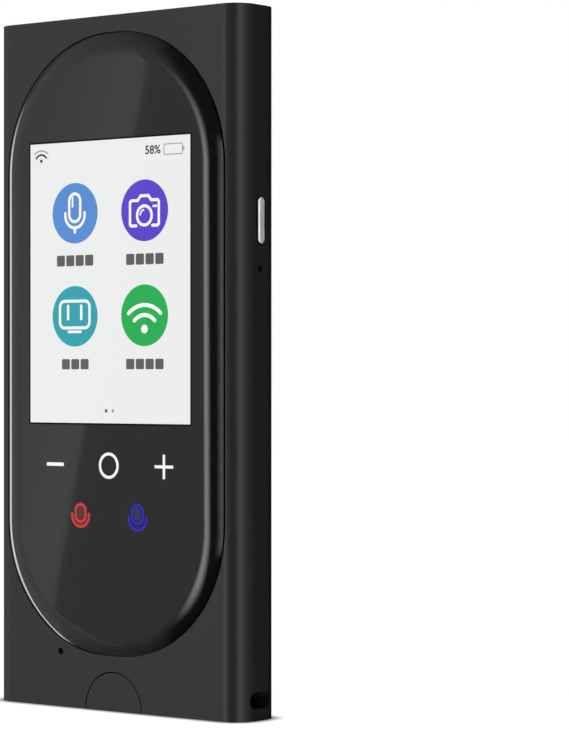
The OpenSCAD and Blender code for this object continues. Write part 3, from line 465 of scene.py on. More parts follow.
def build_handling():
    group, inside, out = new_group("handling", {"Patches per metre": 60, "Spread": 0.1},
                                   ("Roughness shift",))
    patches = group.nodes.new("ShaderNodeTexNoise")
    patches.inputs["Detail"].default_value = 4
    patches.inputs["Distortion"].default_value = 0.6
    group.links.new(object_point(group), patches.inputs["Vector"])
    group.links.new(inside.outputs["Patches per metre"], patches.inputs["Scale"])
    less = sums(group, "MULTIPLY", inside.outputs["Spread"], -1)
    group.links.new(remap(group, patches.outputs["Fac"], less, inside.outputs["Spread"]), out.inputs[0])
    return group


def build_pull_marks():
    group, inside, out = new_group("pull_marks", {"Lines per metre": 900, "Stretch": 30},
                                   ("Height", "Tone"))
    place = group.nodes.new("ShaderNodeTexCoord")
    split = group.nodes.new("ShaderNodeSeparateXYZ")
    group.links.new(place.outputs["Object"], split.inputs[0])
    join = group.nodes.new("ShaderNodeCombineXYZ")
    group.links.new(split.outputs["X"], join.inputs["X"])
    group.links.new(split.outputs["Y"], join.inputs["Y"])
    along = sums(group, "DIVIDE", split.outputs["Z"], inside.outputs["Stretch"])
    group.links.new(along, join.inputs["Z"])
    noise = group.nodes.new("ShaderNodeTexNoise")
    noise.inputs["Detail"].default_value = 5
    group.links.new(join.outputs[0], noise.inputs["Vector"])
    group.links.new(inside.outputs["Lines per metre"], noise.inputs["Scale"])
    group.links.new(noise.outputs["Fac"], out.inputs["Height"])
    group.links.new(remap(group, noise.outputs["Fac"], 0.75, 1.25), out.inputs["Tone"])
    return group


GRAIN = build_grain()
HANDLING = build_handling()
PULL_MARKS = build_pull_marks()
print("node groups:", [g.name for g in bpy.data.node_groups])

# %% [markdown]
# ## Finishes
# Every finish is a Principled shader with its even values typed on the shader, and with the grain,
# the tone and the roughness that change over the surface wired in from the groups. One function makes
# the plain moulded, sprayed and metal finishes from a few real qualities. The special ones, such as
# circuit board, foil or lens coating, have a short function each.


# %% Helpers for finishes
def add_group(tree, group, **values):
    node = tree.nodes.new("ShaderNodeGroup")
    node.node_tree = group
    for label, value in values.items():
        node.inputs[label.replace("_", " ")].default_value = value
    return node


def new_finish(name, **even):
    """A material with a bare Principled shader; even values are typed on its own sockets."""
    material = bpy.data.materials.new(name)
    material.use_nodes = True
    tree = material.node_tree
    tree.nodes.clear()
    out = tree.nodes.new("ShaderNodeOutputMaterial")
    shader = tree.nodes.new("ShaderNodeBsdfPrincipled")
    for label, value in even.items():
        shader.inputs[label.replace("_", " ")].default_value = value
    tree.links.new(shader.outputs[0], out.inputs["Surface"])
    return material, tree, shader


def times(tree, colour, tone):
    """A colour made lighter and darker over the surface by a tone round 1."""
    node = tree.nodes.new("ShaderNodeVectorMath")
    node.operation = "SCALE"
    node.inputs[0].default_value = colour
    tree.links.new(tone, node.inputs["Scale"])
    return node.outputs[0]


def blend(tree, share, first, second):
    """From the first colour to the second as share goes from 0 to 1."""
    node = tree.nodes.new("ShaderNodeMix")
    node.data_type = "RGBA"
    tree.links.new(share, node.inputs[0])
    node.inputs[6].default_value = (*first, 1)
    node.inputs[7].default_value = (*second, 1)
    return node.outputs[2]


def add_bump(tree, shader, height, depth):
    bump = tree.nodes.new("ShaderNodeBump")
    bump.inputs["Strength"].default_value = 1.0
    bump.inputs["Distance"].default_value = depth
    tree.links.new(height, bump.inputs["Height"])
    tree.links.new(bump.outputs["Normal"], shader.inputs["Normal"])


def uneven_roughness(tree, shader, roughness, spread, patches):
    marks = add_group(tree, HANDLING, Spread=spread, Patches_per_metre=patches)
    total = sums(tree, "ADD", marks.outputs[0], roughness)
    total.node.use_clamp = True
    tree.links.new(total, shader.inputs["Roughness"])


# %% Plain and lit finishes
def finish(name, colour, roughness, metallic=0.0, grain=6000, depth=0.002 * mm, spread=0.05,
           patches=60, specular=0.5, coat=0.0, drawn=False, ior=1.5):
    """A moulded, sprayed or metal surface. grain is bumps per metre, and depth is their height."""
    material, tree, shader = new_finish(name, Metallic=metallic, IOR=ior, Specular_IOR_Level=specular,
                                        Coat_Weight=coat)
    if drawn:
        texture = add_group(tree, PULL_MARKS, Lines_per_metre=grain)
    else:
        texture = add_group(tree, GRAIN, Grain_per_metre=grain)
    tree.links.new(times(tree, colour, texture.outputs["Tone"]), shader.inputs["Base Color"])
    uneven_roughness(tree, shader, roughness, spread, patches)
    add_bump(tree, shader, texture.outputs["Height"], depth)
    return material


def lit(name, colour):
    """Something that glows by itself, seen through the glass: a lit legend or a patch of the screen."""
    material, tree, shader = new_finish(name, Base_Color=(0.004, 0.004, 0.004, 1), Roughness=0.08,
                                        Specular_IOR_Level=0.35, Emission_Strength=1.0)
    glow = add_group(tree, HANDLING, Spread=0.02, Patches_per_metre=140)
    tone = remap(tree, glow.outputs[0], 1.0, 1.02)
    tree.links.new(times(tree, colour, tone), shader.inputs["Emission Color"])
    return material


def srgb(red, green, blue):
    """A screen colour, 0 to 255, as the light it gives."""
    return tuple(pow((c / 255 + 0.055) / 1.055, 2.4) if c > 10 else c / 255 / 12.92
                 for c in (red, green, blue))


# %% Finishes of the outer shells
def moulding(name, colour):
    """The satin plastic that the housing and the port cover are moulded in."""
    return finish(name, colour, 0.31, grain=9000, depth=0.0015 * mm, spread=0.02)


housing_plastic = moulding("housing_plastic", (0.012, 0.012, 0.0124))
cover_paint = finish("cover_paint", (0.013, 0.013, 0.0135), 0.27, grain=12000, depth=0.001 * mm,
                     spread=0.02)
flap_plastic = moulding("flap_plastic", (0.0125, 0.0125, 0.0129))
black_glass = finish("black_glass", (0.003, 0.003, 0.0033), 0.03, grain=200, depth=0, spread=0.004,
                     patches=30, ior=1.8)
button_silver = finish("button_silver", (0.72, 0.72, 0.73), 0.34, metallic=0.5, grain=2500,
                       depth=0.001 * mm, drawn=True)
bezel_metal = finish("bezel_metal", (0.06, 0.06, 0.066), 0.22, metallic=0.85, grain=3000,
                     depth=0.001 * mm, drawn=True)
print("finishes so far:", len(bpy.data.materials))


# %% Finishes of the inside
def board_finish():
    """Green solder mask over fine copper tracks, which stand up a little under it."""
    material, tree, shader = new_finish("circuit_board", IOR=1.5)
    tracks = tree.nodes.new("ShaderNodeTexBrick")
    tracks.inputs["Scale"].default_value = 260
    tracks.inputs["Mortar Size"].default_value = 0.06
    tracks.inputs["Mortar Smooth"].default_value = 0.2
    tree.links.new(object_point(tree), tracks.inputs["Vector"])
    grain = add_group(tree, GRAIN, Grain_per_metre=1500)
    shade = sums(tree, "MULTIPLY", tracks.outputs["Fac"], grain.outputs["Tone"])
    mask_colour = blend(tree, shade, (0.008, 0.07, 0.025), (0.05, 0.2, 0.06))
    tree.links.new(mask_colour, shader.inputs["Base Color"])
    uneven_roughness(tree, shader, 0.3, 0.08, 120)
    add_bump(tree, shader, tracks.outputs["Fac"], 0.02 * mm)
    return material


def pored_finish_painted_shade(name, colour, roughness, pores, depth, metallic=0.0, sheen=0.0):
    """Cells with painted shade in the hollows between them: foam, rubber skin or crumpled foil, by size
    and depth.
    """
    material, tree, shader = new_finish(name, Metallic=metallic, Sheen_Weight=sheen)
    cells = tree.nodes.new("ShaderNodeTexVoronoi")
    cells.inputs["Scale"].default_value = pores
    tree.links.new(object_point(tree), cells.inputs["Vector"])
    # Painted shade: each cell is lighter in its middle and darker towards its edge.
    tone = remap(tree, cells.outputs["Distance"], 1.15, 0.8)
    tree.links.new(times(tree, colour, tone), shader.inputs["Base Color"])
    uneven_roughness(tree, shader, roughness, 0.06, 200)
    add_bump(tree, shader, cells.outputs["Distance"], depth)
    return material


def ribbon_finish():
    """Amber film over copper lines that run along it."""
    material, tree, shader = new_finish("ribbon", Coat_Weight=0.3)
    lines = tree.nodes.new("ShaderNodeTexWave")
    lines.inputs["Scale"].default_value = 320
    lines.inputs["Distortion"].default_value = 0.1
    tree.links.new(object_point(tree), lines.inputs["Vector"])
    film_colour = blend(tree, lines.outputs["Fac"], (0.3, 0.12, 0.02), (0.62, 0.3, 0.08))
    tree.links.new(film_colour, shader.inputs["Base Color"])
    uneven_roughness(tree, shader, 0.35, 0.06, 150)
    add_bump(tree, shader, lines.outputs["Fac"], 0.01 * mm)
    return material


def weave_finish():
    """Black yarn: fine twisted fibres with a soft sheen."""
    material, tree, shader = new_finish("mesh_fabric", Sheen_Weight=0.35, Sheen_Roughness=0.4,
                                        Specular_IOR_Level=0.25)
    fibres = add_group(tree, GRAIN, Grain_per_metre=22000)
    yarn_colour = times(tree, (0.012, 0.012, 0.013), fibres.outputs["Tone"])
    tree.links.new(yarn_colour, shader.inputs["Base Color"])
    uneven_roughness(tree, shader, 0.75, 0.1, 400)
    add_bump(tree, shader, fibres.outputs["Height"], 0.01 * mm)
    return material


inner_finishes = {
    "black_print": finish("black_print", (0.01, 0.01, 0.011), 0.2, grain=4000, depth=0.001 * mm),
    "foam_tape": pored_finish_painted_shade("foam_tape", (0.06, 0.06, 0.065), 0.85, 4000, 0.04 * mm),
    "screen": finish("screen_stack", (0.5, 0.52, 0.55), 0.15, grain=3000, depth=0.0005 * mm),
    "light_unit": finish("light_unit", (0.6, 0.6, 0.63), 0.3, grain=2500, depth=0.002 * mm),
    "ribbon": ribbon_finish(),
    "film_white": finish("film_white", (0.8, 0.8, 0.8), 0.35, grain=5000, depth=0.001 * mm),
    "film_red": finish("film_red", (0.5, 0.02, 0.02), 0.35, grain=5000, depth=0.001 * mm),
    "film_blue": finish("film_blue", (0.03, 0.02, 0.4), 0.35, grain=5000, depth=0.001 * mm),
    "circuit_board": board_finish(),
    "lamp": finish("lamp", (0.9, 0.8, 0.4), 0.15, grain=2000, depth=0.001 * mm, coat=0.5),
    "frame_metal": finish("frame_metal", (0.6, 0.61, 0.63), 0.45, metallic=1.0, grain=3500,
                          depth=0.006 * mm),
    "screw_steel": finish("screw_steel", (0.6, 0.6, 0.62), 0.28, metallic=1.0, grain=2600,
                          depth=0.002 * mm, drawn=True),
    "chip": finish("chip", (0.02, 0.02, 0.022), 0.5, grain=7000, depth=0.004 * mm),
    "connector": finish("connector", (0.7, 0.66, 0.55), 0.4, grain=5000, depth=0.002 * mm),
    "battery_foil": pored_finish_painted_shade("battery_foil", (0.45, 0.46, 0.48), 0.35, 350, 0.05 * mm, metallic=1.0),
    "lead_red": finish("lead_red", (0.5, 0.02, 0.02), 0.45, grain=4000, depth=0.002 * mm),
    "gasket_rubber": pored_finish_painted_shade("gasket_rubber", (0.02, 0.02, 0.02), 0.8, 6000, 0.01 * mm),
    "speaker_plastic": finish("speaker_plastic", (0.03, 0.03, 0.032), 0.42, grain=7000, depth=0.003 * mm),
    "mesh_fabric": weave_finish(),
    "switch_plastic": finish("switch_plastic", (0.05, 0.05, 0.05), 0.4, grain=6000, depth=0.002 * mm),
}
print("finishes:", len(bpy.data.materials))

# %% [markdown]
# ## Making pieces
# A solid from CAD comes as loose triangles with knife-sharp edges. A real moulding has edges broken
# by about a tenth of a millimetre, and those catch the light as thin bright lines. So the outer
# shells are copied, their triangles merged into whole faces, and a Bevel modifier breaks every sharp
# edge. Large flat faces beside tiny bevels would shade unevenly, so a Weighted Normal modifier lets
# the large faces decide. The copy then stands for the solid, which stays hidden.

# %% Helpers for pieces
EDGE_ANGLE = math.radians(32)
BEVEL_SEGMENTS = 2


def place_piece(name, mesh, material, body, replaced):
    """Puts a finished mesh in the scene, riding on its body and standing for the replaced solids."""
    piece = bpy.data.objects.new(name, mesh)
    scene.collection.objects.link(piece)
    if material is not None:
        mesh.materials.clear()
        mesh.materials.append(material)
    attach(piece, body)
    if replaced:
        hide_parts(*replaced)
    return piece


def smooth(mesh, angle=EDGE_ANGLE):
    mesh.polygons.foreach_set("use_smooth", [True] * len(mesh.polygons))
    mesh.set_sharp_from_angle(angle=angle)


def mesh_from(bm, name):
    mesh = bpy.data.meshes.new(name)
    bm.to_mesh(mesh)
    bm.free()
    return mesh


def break_edges(piece, width):
    bevel = piece.modifiers.new("broken edges", "BEVEL")
    bevel.width = width
    bevel.segments = BEVEL_SEGMENTS
    bevel.limit_method = "ANGLE"
    bevel.angle_limit = EDGE_ANGLE
    shading = piece.modifiers.new("even shading", "WEIGHTED_NORMAL")
    shading.weight = 100
    shading.keep_sharp = True


def shell(node, name, material, width, body="housing"):
    """A copy of a solid with its sharp edges broken by a small bevel."""
    bm = bmesh.new()
    bm.from_mesh(nodes[node].data)
    bmesh.ops.remove_doubles(bm, verts=bm.verts, dist=0.001 * mm)
    bmesh.ops.dissolve_limit(bm, angle_limit=math.radians(0.3), verts=bm.verts, edges=bm.edges)
    for face in bm.faces:
        face.smooth = True
    mesh = mesh_from(bm, name)
    piece = place_piece(name, mesh, material, body, (node,))
    break_edges(piece, width)
    print(name, "has", len(mesh.polygons), "faces before its bevel")
    return piece


# %% Outer shells
CASE_EDGE, PORT_COVER_EDGE, BEZEL_EDGE = 0.08 * mm, 0.18 * mm, 0.06 * mm
shell("front_housing", "housing_shell", housing_plastic, CASE_EDGE)
rear_panel = shell("rear_cover", "rear_panel", cover_paint, CASE_EDGE)
lit_by_rear_card.objects.link(rear_panel)
shell("port_flap", "port_cover", flap_plastic, PORT_COVER_EDGE, "port_cover")
shell("camera_ring", "lens_bezel", bezel_metal, BEZEL_EDGE)

# %% [markdown]
# ## A kit for Geometry Nodes
# Geometry Nodes make what follows a rule. A tree written in code gets long, so this small class keeps
# it readable: `math` adds a sum, `node` adds any other node, and `make` runs the tree once and hands
# back a plain mesh, with its instances made real and its material set.


# %% Recipe class
class Recipe:
    """A Geometry Nodes tree; its inputs are named and typed in one dict."""

    def __init__(self, name, inputs):
        self.tree = bpy.data.node_groups.new(name, "GeometryNodeTree")
        self.ids = {}
        for label, (kind, value) in inputs.items():
            socket = self.tree.interface.new_socket(label, in_out="INPUT",
                                                    socket_type="NodeSocket" + kind)
            socket.default_value = value
            self.ids[label] = socket.identifier
        self.tree.interface.new_socket("Geometry", in_out="OUTPUT", socket_type="NodeSocketGeometry")
        self.inside = self.tree.nodes.new("NodeGroupInput")

    def get(self, label):
        return self.inside.outputs[label]

    def node(self, kind, settings=None, **sockets):
        node = self.tree.nodes.new(kind)
        for key, value in (settings or {}).items():
            setattr(node, key, value)
        for key, value in sockets.items():
            self.feed(node.inputs[key.replace("_", " ")], value)
        return node

    def feed(self, socket, value):
        if isinstance(value, bpy.types.NodeSocket):
            self.tree.links.new(value, socket)
        else:
            socket.default_value = value

    def math(self, operation, *values):
        node = self.node("ShaderNodeMath", {"operation": operation})
        for socket, value in zip(node.inputs, values):
            self.feed(socket, value)
        return node.outputs[0]

    def mix(self, share, first, second):
        """From first to second as share goes from 0 to 1."""
        return self.math("ADD", first, self.math("MULTIPLY", share, self.math("SUBTRACT", second, first)))

    def finish(self, geometry, material):
        """Ends the tree in Realize Instances and Set Material."""
        real = self.node("GeometryNodeRealizeInstances", Geometry=geometry)
        coloured = self.node("GeometryNodeSetMaterial", Geometry=real.outputs[0], Material=material)
        out = self.tree.nodes.new("NodeGroupOutput")
        self.tree.links.new(coloured.outputs[0], out.inputs[0])

    def make(self, name, **values):
        """Runs the tree once, and gives the plain mesh that it makes."""
        holder = bpy.data.objects.new(name, bpy.data.meshes.new(name))
        scene.collection.objects.link(holder)
        modifier = holder.modifiers.new(name, "NODES")
        modifier.node_group = self.tree
        for label, value in values.items():
            modifier[self.ids[label.replace("_", " ")]] = value
        bpy.context.view_layer.update()
        evaluated = holder.evaluated_get(bpy.context.evaluated_depsgraph_get())
        mesh = bpy.data.meshes.new_from_object(evaluated)
        holder.modifiers.remove(modifier)
        bpy.data.objects.remove(holder)
        mesh.name = name
        return mesh


# %% [markdown]
# ## Pebbles: the glass and the side button
# The cover glass is a pebble: a long rounded plate whose rim curves down to the housing. The side
# button is a small one too. Both follow one rule, so one tree makes them. A flat grid is bent: its
# columns run round the four corners, and its rows run over the section, from the middle of the back,
# up the side, over the curved rim and in to the middle of the front. An extra row just inside the
# flat keeps the shading of the big face perfectly even, which matters on a mirror-like surface. The
# button is a bright cap on a black body. The body's near-black colour also paints the shade in the gap
# round the cap.

# %% Pebble recipe
def pebble_recipe(material):
    r = Recipe("pebble", {
        "Width": ("Float", 0.05), "Length": ("Float", 0.1), "Thickness": ("Float", 0.002),
        "Top Radius": ("Float", 0.02), "Low Radius": ("Float", 0.02),
        "Rim Run": ("Float", 0.004), "Rim Radius": ("Float", 0.007), "Shading Row": ("Float", 0.0001),
        "Turn Steps": ("Int", 32), "Rim Steps": ("Int", 14), "Front": ("Float", 0.0),
        "Middle": ("Float", 0.0),
    })
    turns, rim = r.get("Turn Steps"), r.get("Rim Steps")
    a_corner = r.math("ADD", turns, 1)
    columns = r.math("ADD", r.math("MULTIPLY", a_corner, 4), 1)
    rows = r.math("ADD", rim, 5)
    grid = r.node("GeometryNodeMeshGrid", Size_X=1.0, Size_Y=1.0, Vertices_X=columns, Vertices_Y=rows)
    split = r.node("ShaderNodeSeparateXYZ", Vector=r.node("GeometryNodeInputPosition").outputs[0])
    column = r.math("MULTIPLY", r.math("ADD", split.outputs["X"], 0.5), r.math("SUBTRACT", columns, 1))
    column = r.math("ROUND", column)
    row = r.math("MULTIPLY", r.math("ADD", split.outputs["Y"], 0.5), r.math("SUBTRACT", rows, 1))
    row = r.math("ROUND", row)
    # Corners 0 to 3 go round from the upper right one, and 4 closes the loop where 0 began
    corner = r.math("FLOOR", r.math("DIVIDE", r.math("ADD", column, 0.01), a_corner))
    step = r.math("SUBTRACT", column, r.math("MULTIPLY", corner, a_corner))
    angle = r.math("MULTIPLY", r.math("ADD", corner, r.math("DIVIDE", step, turns)), math.pi / 2)
    at_left = r.math("SUBTRACT", r.math("GREATER_THAN", corner, 0.5), r.math("GREATER_THAN", corner, 2.5))
    below = r.math("SUBTRACT", r.math("GREATER_THAN", corner, 1.5), r.math("GREATER_THAN", corner, 3.5))
    radius = r.mix(below, r.get("Top Radius"), r.get("Low Radius"))
    # Rows: 0 back middle, 1 back edge, 2 to rim + 2 over the curve, then just inside the flat, and
    # then the middle
    full_lean = r.math("ARCSINE", r.math("DIVIDE", r.get("Rim Run"), r.get("Rim Radius")))
    along = r.math("SUBTRACT", 1, r.math("DIVIDE", r.math("SUBTRACT", row, 2), rim))
    lean = r.math("MULTIPLY", full_lean, r.math("MAXIMUM", r.math("MINIMUM", along, 1), 0))
    reach = r.math("ADD", r.math("SUBTRACT", radius, r.get("Rim Run")),
                   r.math("MULTIPLY", r.get("Rim Radius"), r.math("SINE", lean)))
    inner = r.math("GREATER_THAN", row, r.math("ADD", rim, 2.5))
    reach = r.math("SUBTRACT", reach, r.math("MULTIPLY", inner, r.get("Shading Row")))
    ends = r.math("ADD", r.math("LESS_THAN", row, 0.5),
                  r.math("GREATER_THAN", row, r.math("ADD", rim, 3.5)))
    outer = r.math("SUBTRACT", 1, ends)
    drop = r.math("MULTIPLY", r.get("Rim Radius"), r.math("SUBTRACT", 1, r.math("COSINE", lean)))
    drop = r.mix(r.math("LESS_THAN", row, 1.5), drop, r.get("Thickness"))
    centre_x = r.math("SUBTRACT", r.math("MULTIPLY", r.get("Width"), 0.5), radius)
    centre_x = r.math("MULTIPLY", centre_x, r.math("SUBTRACT", 1, r.math("MULTIPLY", at_left, 2)))
    centre_z = r.math("SUBTRACT", r.math("MULTIPLY", r.get("Length"), 0.5), radius)
    centre_z = r.math("MULTIPLY", centre_z, r.math("SUBTRACT", 1, r.math("MULTIPLY", below, 2)))
    x = r.math("ADD", centre_x, r.math("MULTIPLY", reach, r.math("COSINE", angle)))
    x = r.math("MULTIPLY", outer, x)
    z = r.math("MULTIPLY", outer, r.math("MULTIPLY", reach, r.math("SINE", angle)))
    z = r.math("ADD", centre_z, z)
    target = r.node("ShaderNodeCombineXYZ", X=x, Y=r.math("ADD", r.get("Front"), drop),
                    Z=r.math("ADD", z, r.get("Middle")))
    bent = r.node("GeometryNodeSetPosition", Geometry=grid.outputs["Mesh"], Position=target.outputs[0])
    closed = r.node("GeometryNodeMergeByDistance", Geometry=bent.outputs[0], Distance=0.0005 * mm)
    r.finish(closed.outputs[0], material)
    return r


def face_outwards(mesh, turn=None):
    """Recalculates the normals; turn is a matrix that moves the shape first."""
    bm = bmesh.new()
    bm.from_mesh(mesh)
    if turn is not None:
        bmesh.ops.transform(bm, matrix=turn, verts=bm.verts)
    bmesh.ops.recalc_face_normals(bm, faces=bm.faces)
    bm.to_mesh(mesh)
    bm.free()


# %% Glass from its solid's own box
GLASS_RIM_RUN, GLASS_RIM_RADIUS = 3.8 * mm, 7.1 * mm
GLASS_TOP_RADIUS, GLASS_LOW_RADIUS = 23.4 * mm, 22.7 * mm
glass_low, glass_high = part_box("cover_glass")
glass_mesh = pebble_recipe(black_glass).make(
    "cover_glass_pebble", Width=glass_high.x - glass_low.x, Length=glass_high.z - glass_low.z,
    Thickness=glass_high.y - glass_low.y, Top_Radius=GLASS_TOP_RADIUS, Low_Radius=GLASS_LOW_RADIUS,
    Rim_Run=GLASS_RIM_RUN, Rim_Radius=GLASS_RIM_RADIUS,
    Front=glass_low.y, Middle=(glass_low.z + glass_high.z) / 2)
face_outwards(glass_mesh)
smooth(glass_mesh, math.radians(20))
glass = place_piece("cover_glass_pebble", glass_mesh, None, "housing", ("cover_glass",))
lit_by_glass_cards.objects.link(glass)
print("glass:", len(glass_mesh.polygons), "faces")

# %% Side button with the flange that keeps it in
BUTTON_W, BUTTON_L = 1.6 * mm, 7.8 * mm
FLANGE_RIM, FLANGE_T = 0.55 * mm, 0.55 * mm
button_low, button_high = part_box("power_button")
button_y, button_z = (button_low.y + button_high.y) / 2, (button_low.z + button_high.z) / 2
flange_x = 26.85 * mm
CAP_T = 0.2 * mm


def side_piece(name, width, length, face_x, thickness, run, radius, steps, material, replaced):
    """A pebble turned to face the right side, at the button's place."""
    mesh = pebble_recipe(material).make(
        name, Width=width, Length=length, Thickness=thickness, Top_Radius=width / 2, Low_Radius=width / 2,
        Rim_Run=run, Rim_Radius=radius, Shading_Row=0.02 * mm, Turn_Steps=16, Rim_Steps=steps,
        Front=0.0, Middle=0.0)
    face_outwards(mesh, Matrix.Translation((face_x, button_y, button_z))
                  @ Matrix.Rotation(math.pi / 2, 4, "Z"))
    smooth(mesh, math.radians(30))
    return place_piece(name, mesh, None, "button", replaced)


# Black plastic and painted shade: the body is darker than the housing, so the gap round the cap looks
# shaded.
button_black_gap_shade = finish("button_black_gap_shade", (0.004, 0.004, 0.0042), 0.4, grain=6000, depth=0.001 * mm)
cap = side_piece("side_button", BUTTON_W, BUTTON_L, button_high.x, CAP_T, 0.4 * mm, 0.44 * mm, 8,
                 button_silver, ("power_button",))
lit_by_cap_lamp.objects.link(cap)
side_piece("button_body", BUTTON_W - 0.03 * mm, BUTTON_L - 0.03 * mm, button_high.x - CAP_T,
           button_high.x - CAP_T - flange_x, 0.02 * mm, 0.03 * mm, 2, button_black_gap_shade, ())
side_piece("button_flange", BUTTON_W + 2 * FLANGE_RIM, BUTTON_L + 2 * FLANGE_RIM, flange_x, FLANGE_T,
           0.08 * mm, 0.12 * mm, 2, button_black_gap_shade, ())

# %% [markdown]
# ## Turned pieces
# The bezel's inside, the lens and the button's nub are round, as if they came off a lathe. A lathe
# piece is a section of a few points spun round its axis, closed on the axis or back on itself.

# %% Lathe
def lathe(name, section, axis, centre, steps, closed=False):
    """Spins (radius, along) points round an axis: 'X' or 'Y'. A closed section makes a ring."""
    bm = bmesh.new()
    rings = []
    for radius, along in section:
        if radius == 0:
            rings.append([bm.verts.new(turned_point(axis, centre, 0, along, 0))] * steps)
        else:
            rings.append([bm.verts.new(turned_point(axis, centre, radius, along, 2 * math.pi * i / steps))
                          for i in range(steps)])
    pairs = list(zip(rings, rings[1:])) + ([(rings[-1], rings[0])] if closed else [])
    for first, second in pairs:
        for i in range(steps):
            j = (i + 1) % steps
            corners = list(dict.fromkeys((first[i], first[j], second[j], second[i])))
            if len(corners) > 2:
                bm.faces.new(corners)
    bmesh.ops.recalc_face_normals(bm, faces=bm.faces)
    return mesh_from(bm, name)


def turned_point(axis, centre, radius, along, angle):
    across, up = radius * math.cos(angle), radius * math.sin(angle)
    if axis == "X":
        return (centre[0] + along, centre[1] + across, centre[2] + up)
    return (centre[0] + across, centre[1] + along, centre[2] + up)


def dome(radius, height, at, steps=10):
    """Section of a shallow lens, from its edge to the axis; at is its edge's place along the axis."""
    ball = (radius ** 2 + height ** 2) / (2 * height)
    full = math.asin(radius / ball)
    lean = [full * (1 - i / steps) for i in range(steps)]
    curve = [(ball * math.sin(a), at + height - ball * (1 - math.cos(a))) for a in lean]
    return curve + [(0, at + height)]


NUB_RADIUS, NUB_LENGTH = 0.7 * mm, 1.0 * mm
nub = [(0, 0), (NUB_RADIUS, 0), (NUB_RADIUS, NUB_LENGTH), (0, NUB_LENGTH)]
nub_mesh = lathe("button_nub", nub, "X", (button_low.x, button_y, button_z), 32)
smooth(nub_mesh)
place_piece("button_nub", nub_mesh, button_black_gap_shade, "button", ())

# %% [markdown]
# ## The camera's eye
# Behind the round window sit stepped black rings, which kill stray light, and the bulging front lens
# with its blue coating. A coating reflects one colour, so the lens's colour follows the distance from
# its axis: deep blue towards the edge, and a painted highlight, near white, in the middle. A clear
# coat over it carries the sharp glints.

# %% Coated glass
LENS_AXIS_Z = 86.6 * mm


def coating(name, stops, roughness, metallic, coat=1.0):
    """A coated lens: its colour runs from the axis outwards through the (radius in mm, colour) stops."""
    material, tree, shader = new_finish(name, Metallic=metallic, Coat_Weight=coat, Coat_Roughness=0.03)
    split = tree.nodes.new("ShaderNodeSeparateXYZ")
    tree.links.new(object_point(tree), split.inputs[0])
    across = sums(tree, "POWER", split.outputs["X"], 2.0)
    upward = sums(tree, "POWER", sums(tree, "SUBTRACT", split.outputs["Z"], LENS_AXIS_Z), 2.0)
    out_from_axis = sums(tree, "SQRT", sums(tree, "ADD", across, upward))
    ramp = tree.nodes.new("ShaderNodeValToRGB")
    points = ramp.color_ramp.elements
    while len(points) < len(stops):
        points.new(1.0)
    for point, (radius, colour) in zip(points, stops):
        point.position = radius / stops[-1][0]
        point.color = (*colour, 1)
    tree.links.new(sums(tree, "DIVIDE", out_from_axis, stops[-1][0] * mm), ramp.inputs["Fac"])
    tree.links.new(ramp.outputs["Color"], shader.inputs["Base Color"])
    uneven_roughness(tree, shader, roughness, 0.01, 300)
    return material


def window_finish():
    """Clear tinted glass; faint polishing marks in its roughness."""
    material, tree, shader = new_finish("lens_glass", Transmission_Weight=1.0, IOR=1.5,
                                        Base_Color=(0.55, 0.78, 0.95, 1))
    uneven_roughness(tree, shader, 0.02, 0.01, 200)
    return material


# The near-white middle of this lens colour is a painted highlight; the blue further out is the coating.
lens_coating_painted_glint = coating("lens_coating_painted_glint", [
    (0.0, (0.95, 0.98, 1.0)), (0.35, (0.55, 0.82, 1.0)), (0.8, (0.12, 0.4, 0.75)),
    (1.3, (0.02, 0.12, 0.3)), (2.1, (0.01, 0.03, 0.09))], 0.06, 0.6)
iris_coating = coating("iris_coating", [
    (0.0, (0.002, 0.012, 0.03)), (2.1, (0.003, 0.018, 0.042)), (3.4, (0.006, 0.045, 0.09)),
    (4.2, (0.002, 0.015, 0.03))], 0.3, 0.2, coat=0.2)
inner_finishes["lens_glass"] = window_finish()

# %% Lens and its stepped rings
lens_centre = (0, 0, LENS_AXIS_Z)
LENS_RADIUS, LENS_BULGE, LENS_EDGE_Y, LENS_BACK_Y = 1.9 * mm, 0.42 * mm, 4.78 * mm, 4.7 * mm
lens_section = dome(LENS_RADIUS, LENS_BULGE, LENS_EDGE_Y) + [(0, LENS_BACK_Y), (LENS_RADIUS, LENS_BACK_Y)]
lens_mesh = lathe("front_lens", lens_section, "Y", lens_centre, 64, closed=True)
smooth(lens_mesh)
place_piece("front_lens", lens_mesh, lens_coating_painted_glint, "housing", ())
# (radius, depth) in mm, down the steps towards the lens and back under them
steps_section = [
    (4.15, 5.29), (3.75, 5.29), (3.7, 5.25), (3.3, 5.22), (3.25, 5.16), (2.9, 5.15), (2.85, 5.24),
    (2.6, 5.24), (2.55, 5.12), (2.25, 5.11), (2.2, 5.02), (2.0, 5.0), (1.95, 4.86),
    (2.6, 5.05), (3.05, 5.11), (3.3, 5.12), (4.15, 5.2)]
rings_mesh = lathe("lens_rings", [(r * mm, y * mm) for r, y in steps_section], "Y", lens_centre, 96,
                   closed=True)
smooth(rings_mesh, math.radians(25))
place_piece("lens_rings", rings_mesh, iris_coating, "housing", ())
print("lens:", len(lens_mesh.polygons), "faces, rings:", len(rings_mesh.polygons), "faces")

# %% [markdown]
# ## Loudspeaker cloth
# Behind the arc slots lies black acoustic cloth in plain weave. In such a weave each crossing is the
# same little cross of two yarns, turned by a quarter at every other place, so Geometry Nodes can
# build it: one bar bulges up and one down, and they are set out over a grid. Only the fan behind the
# slots gets yarns, which keeps the mesh light.

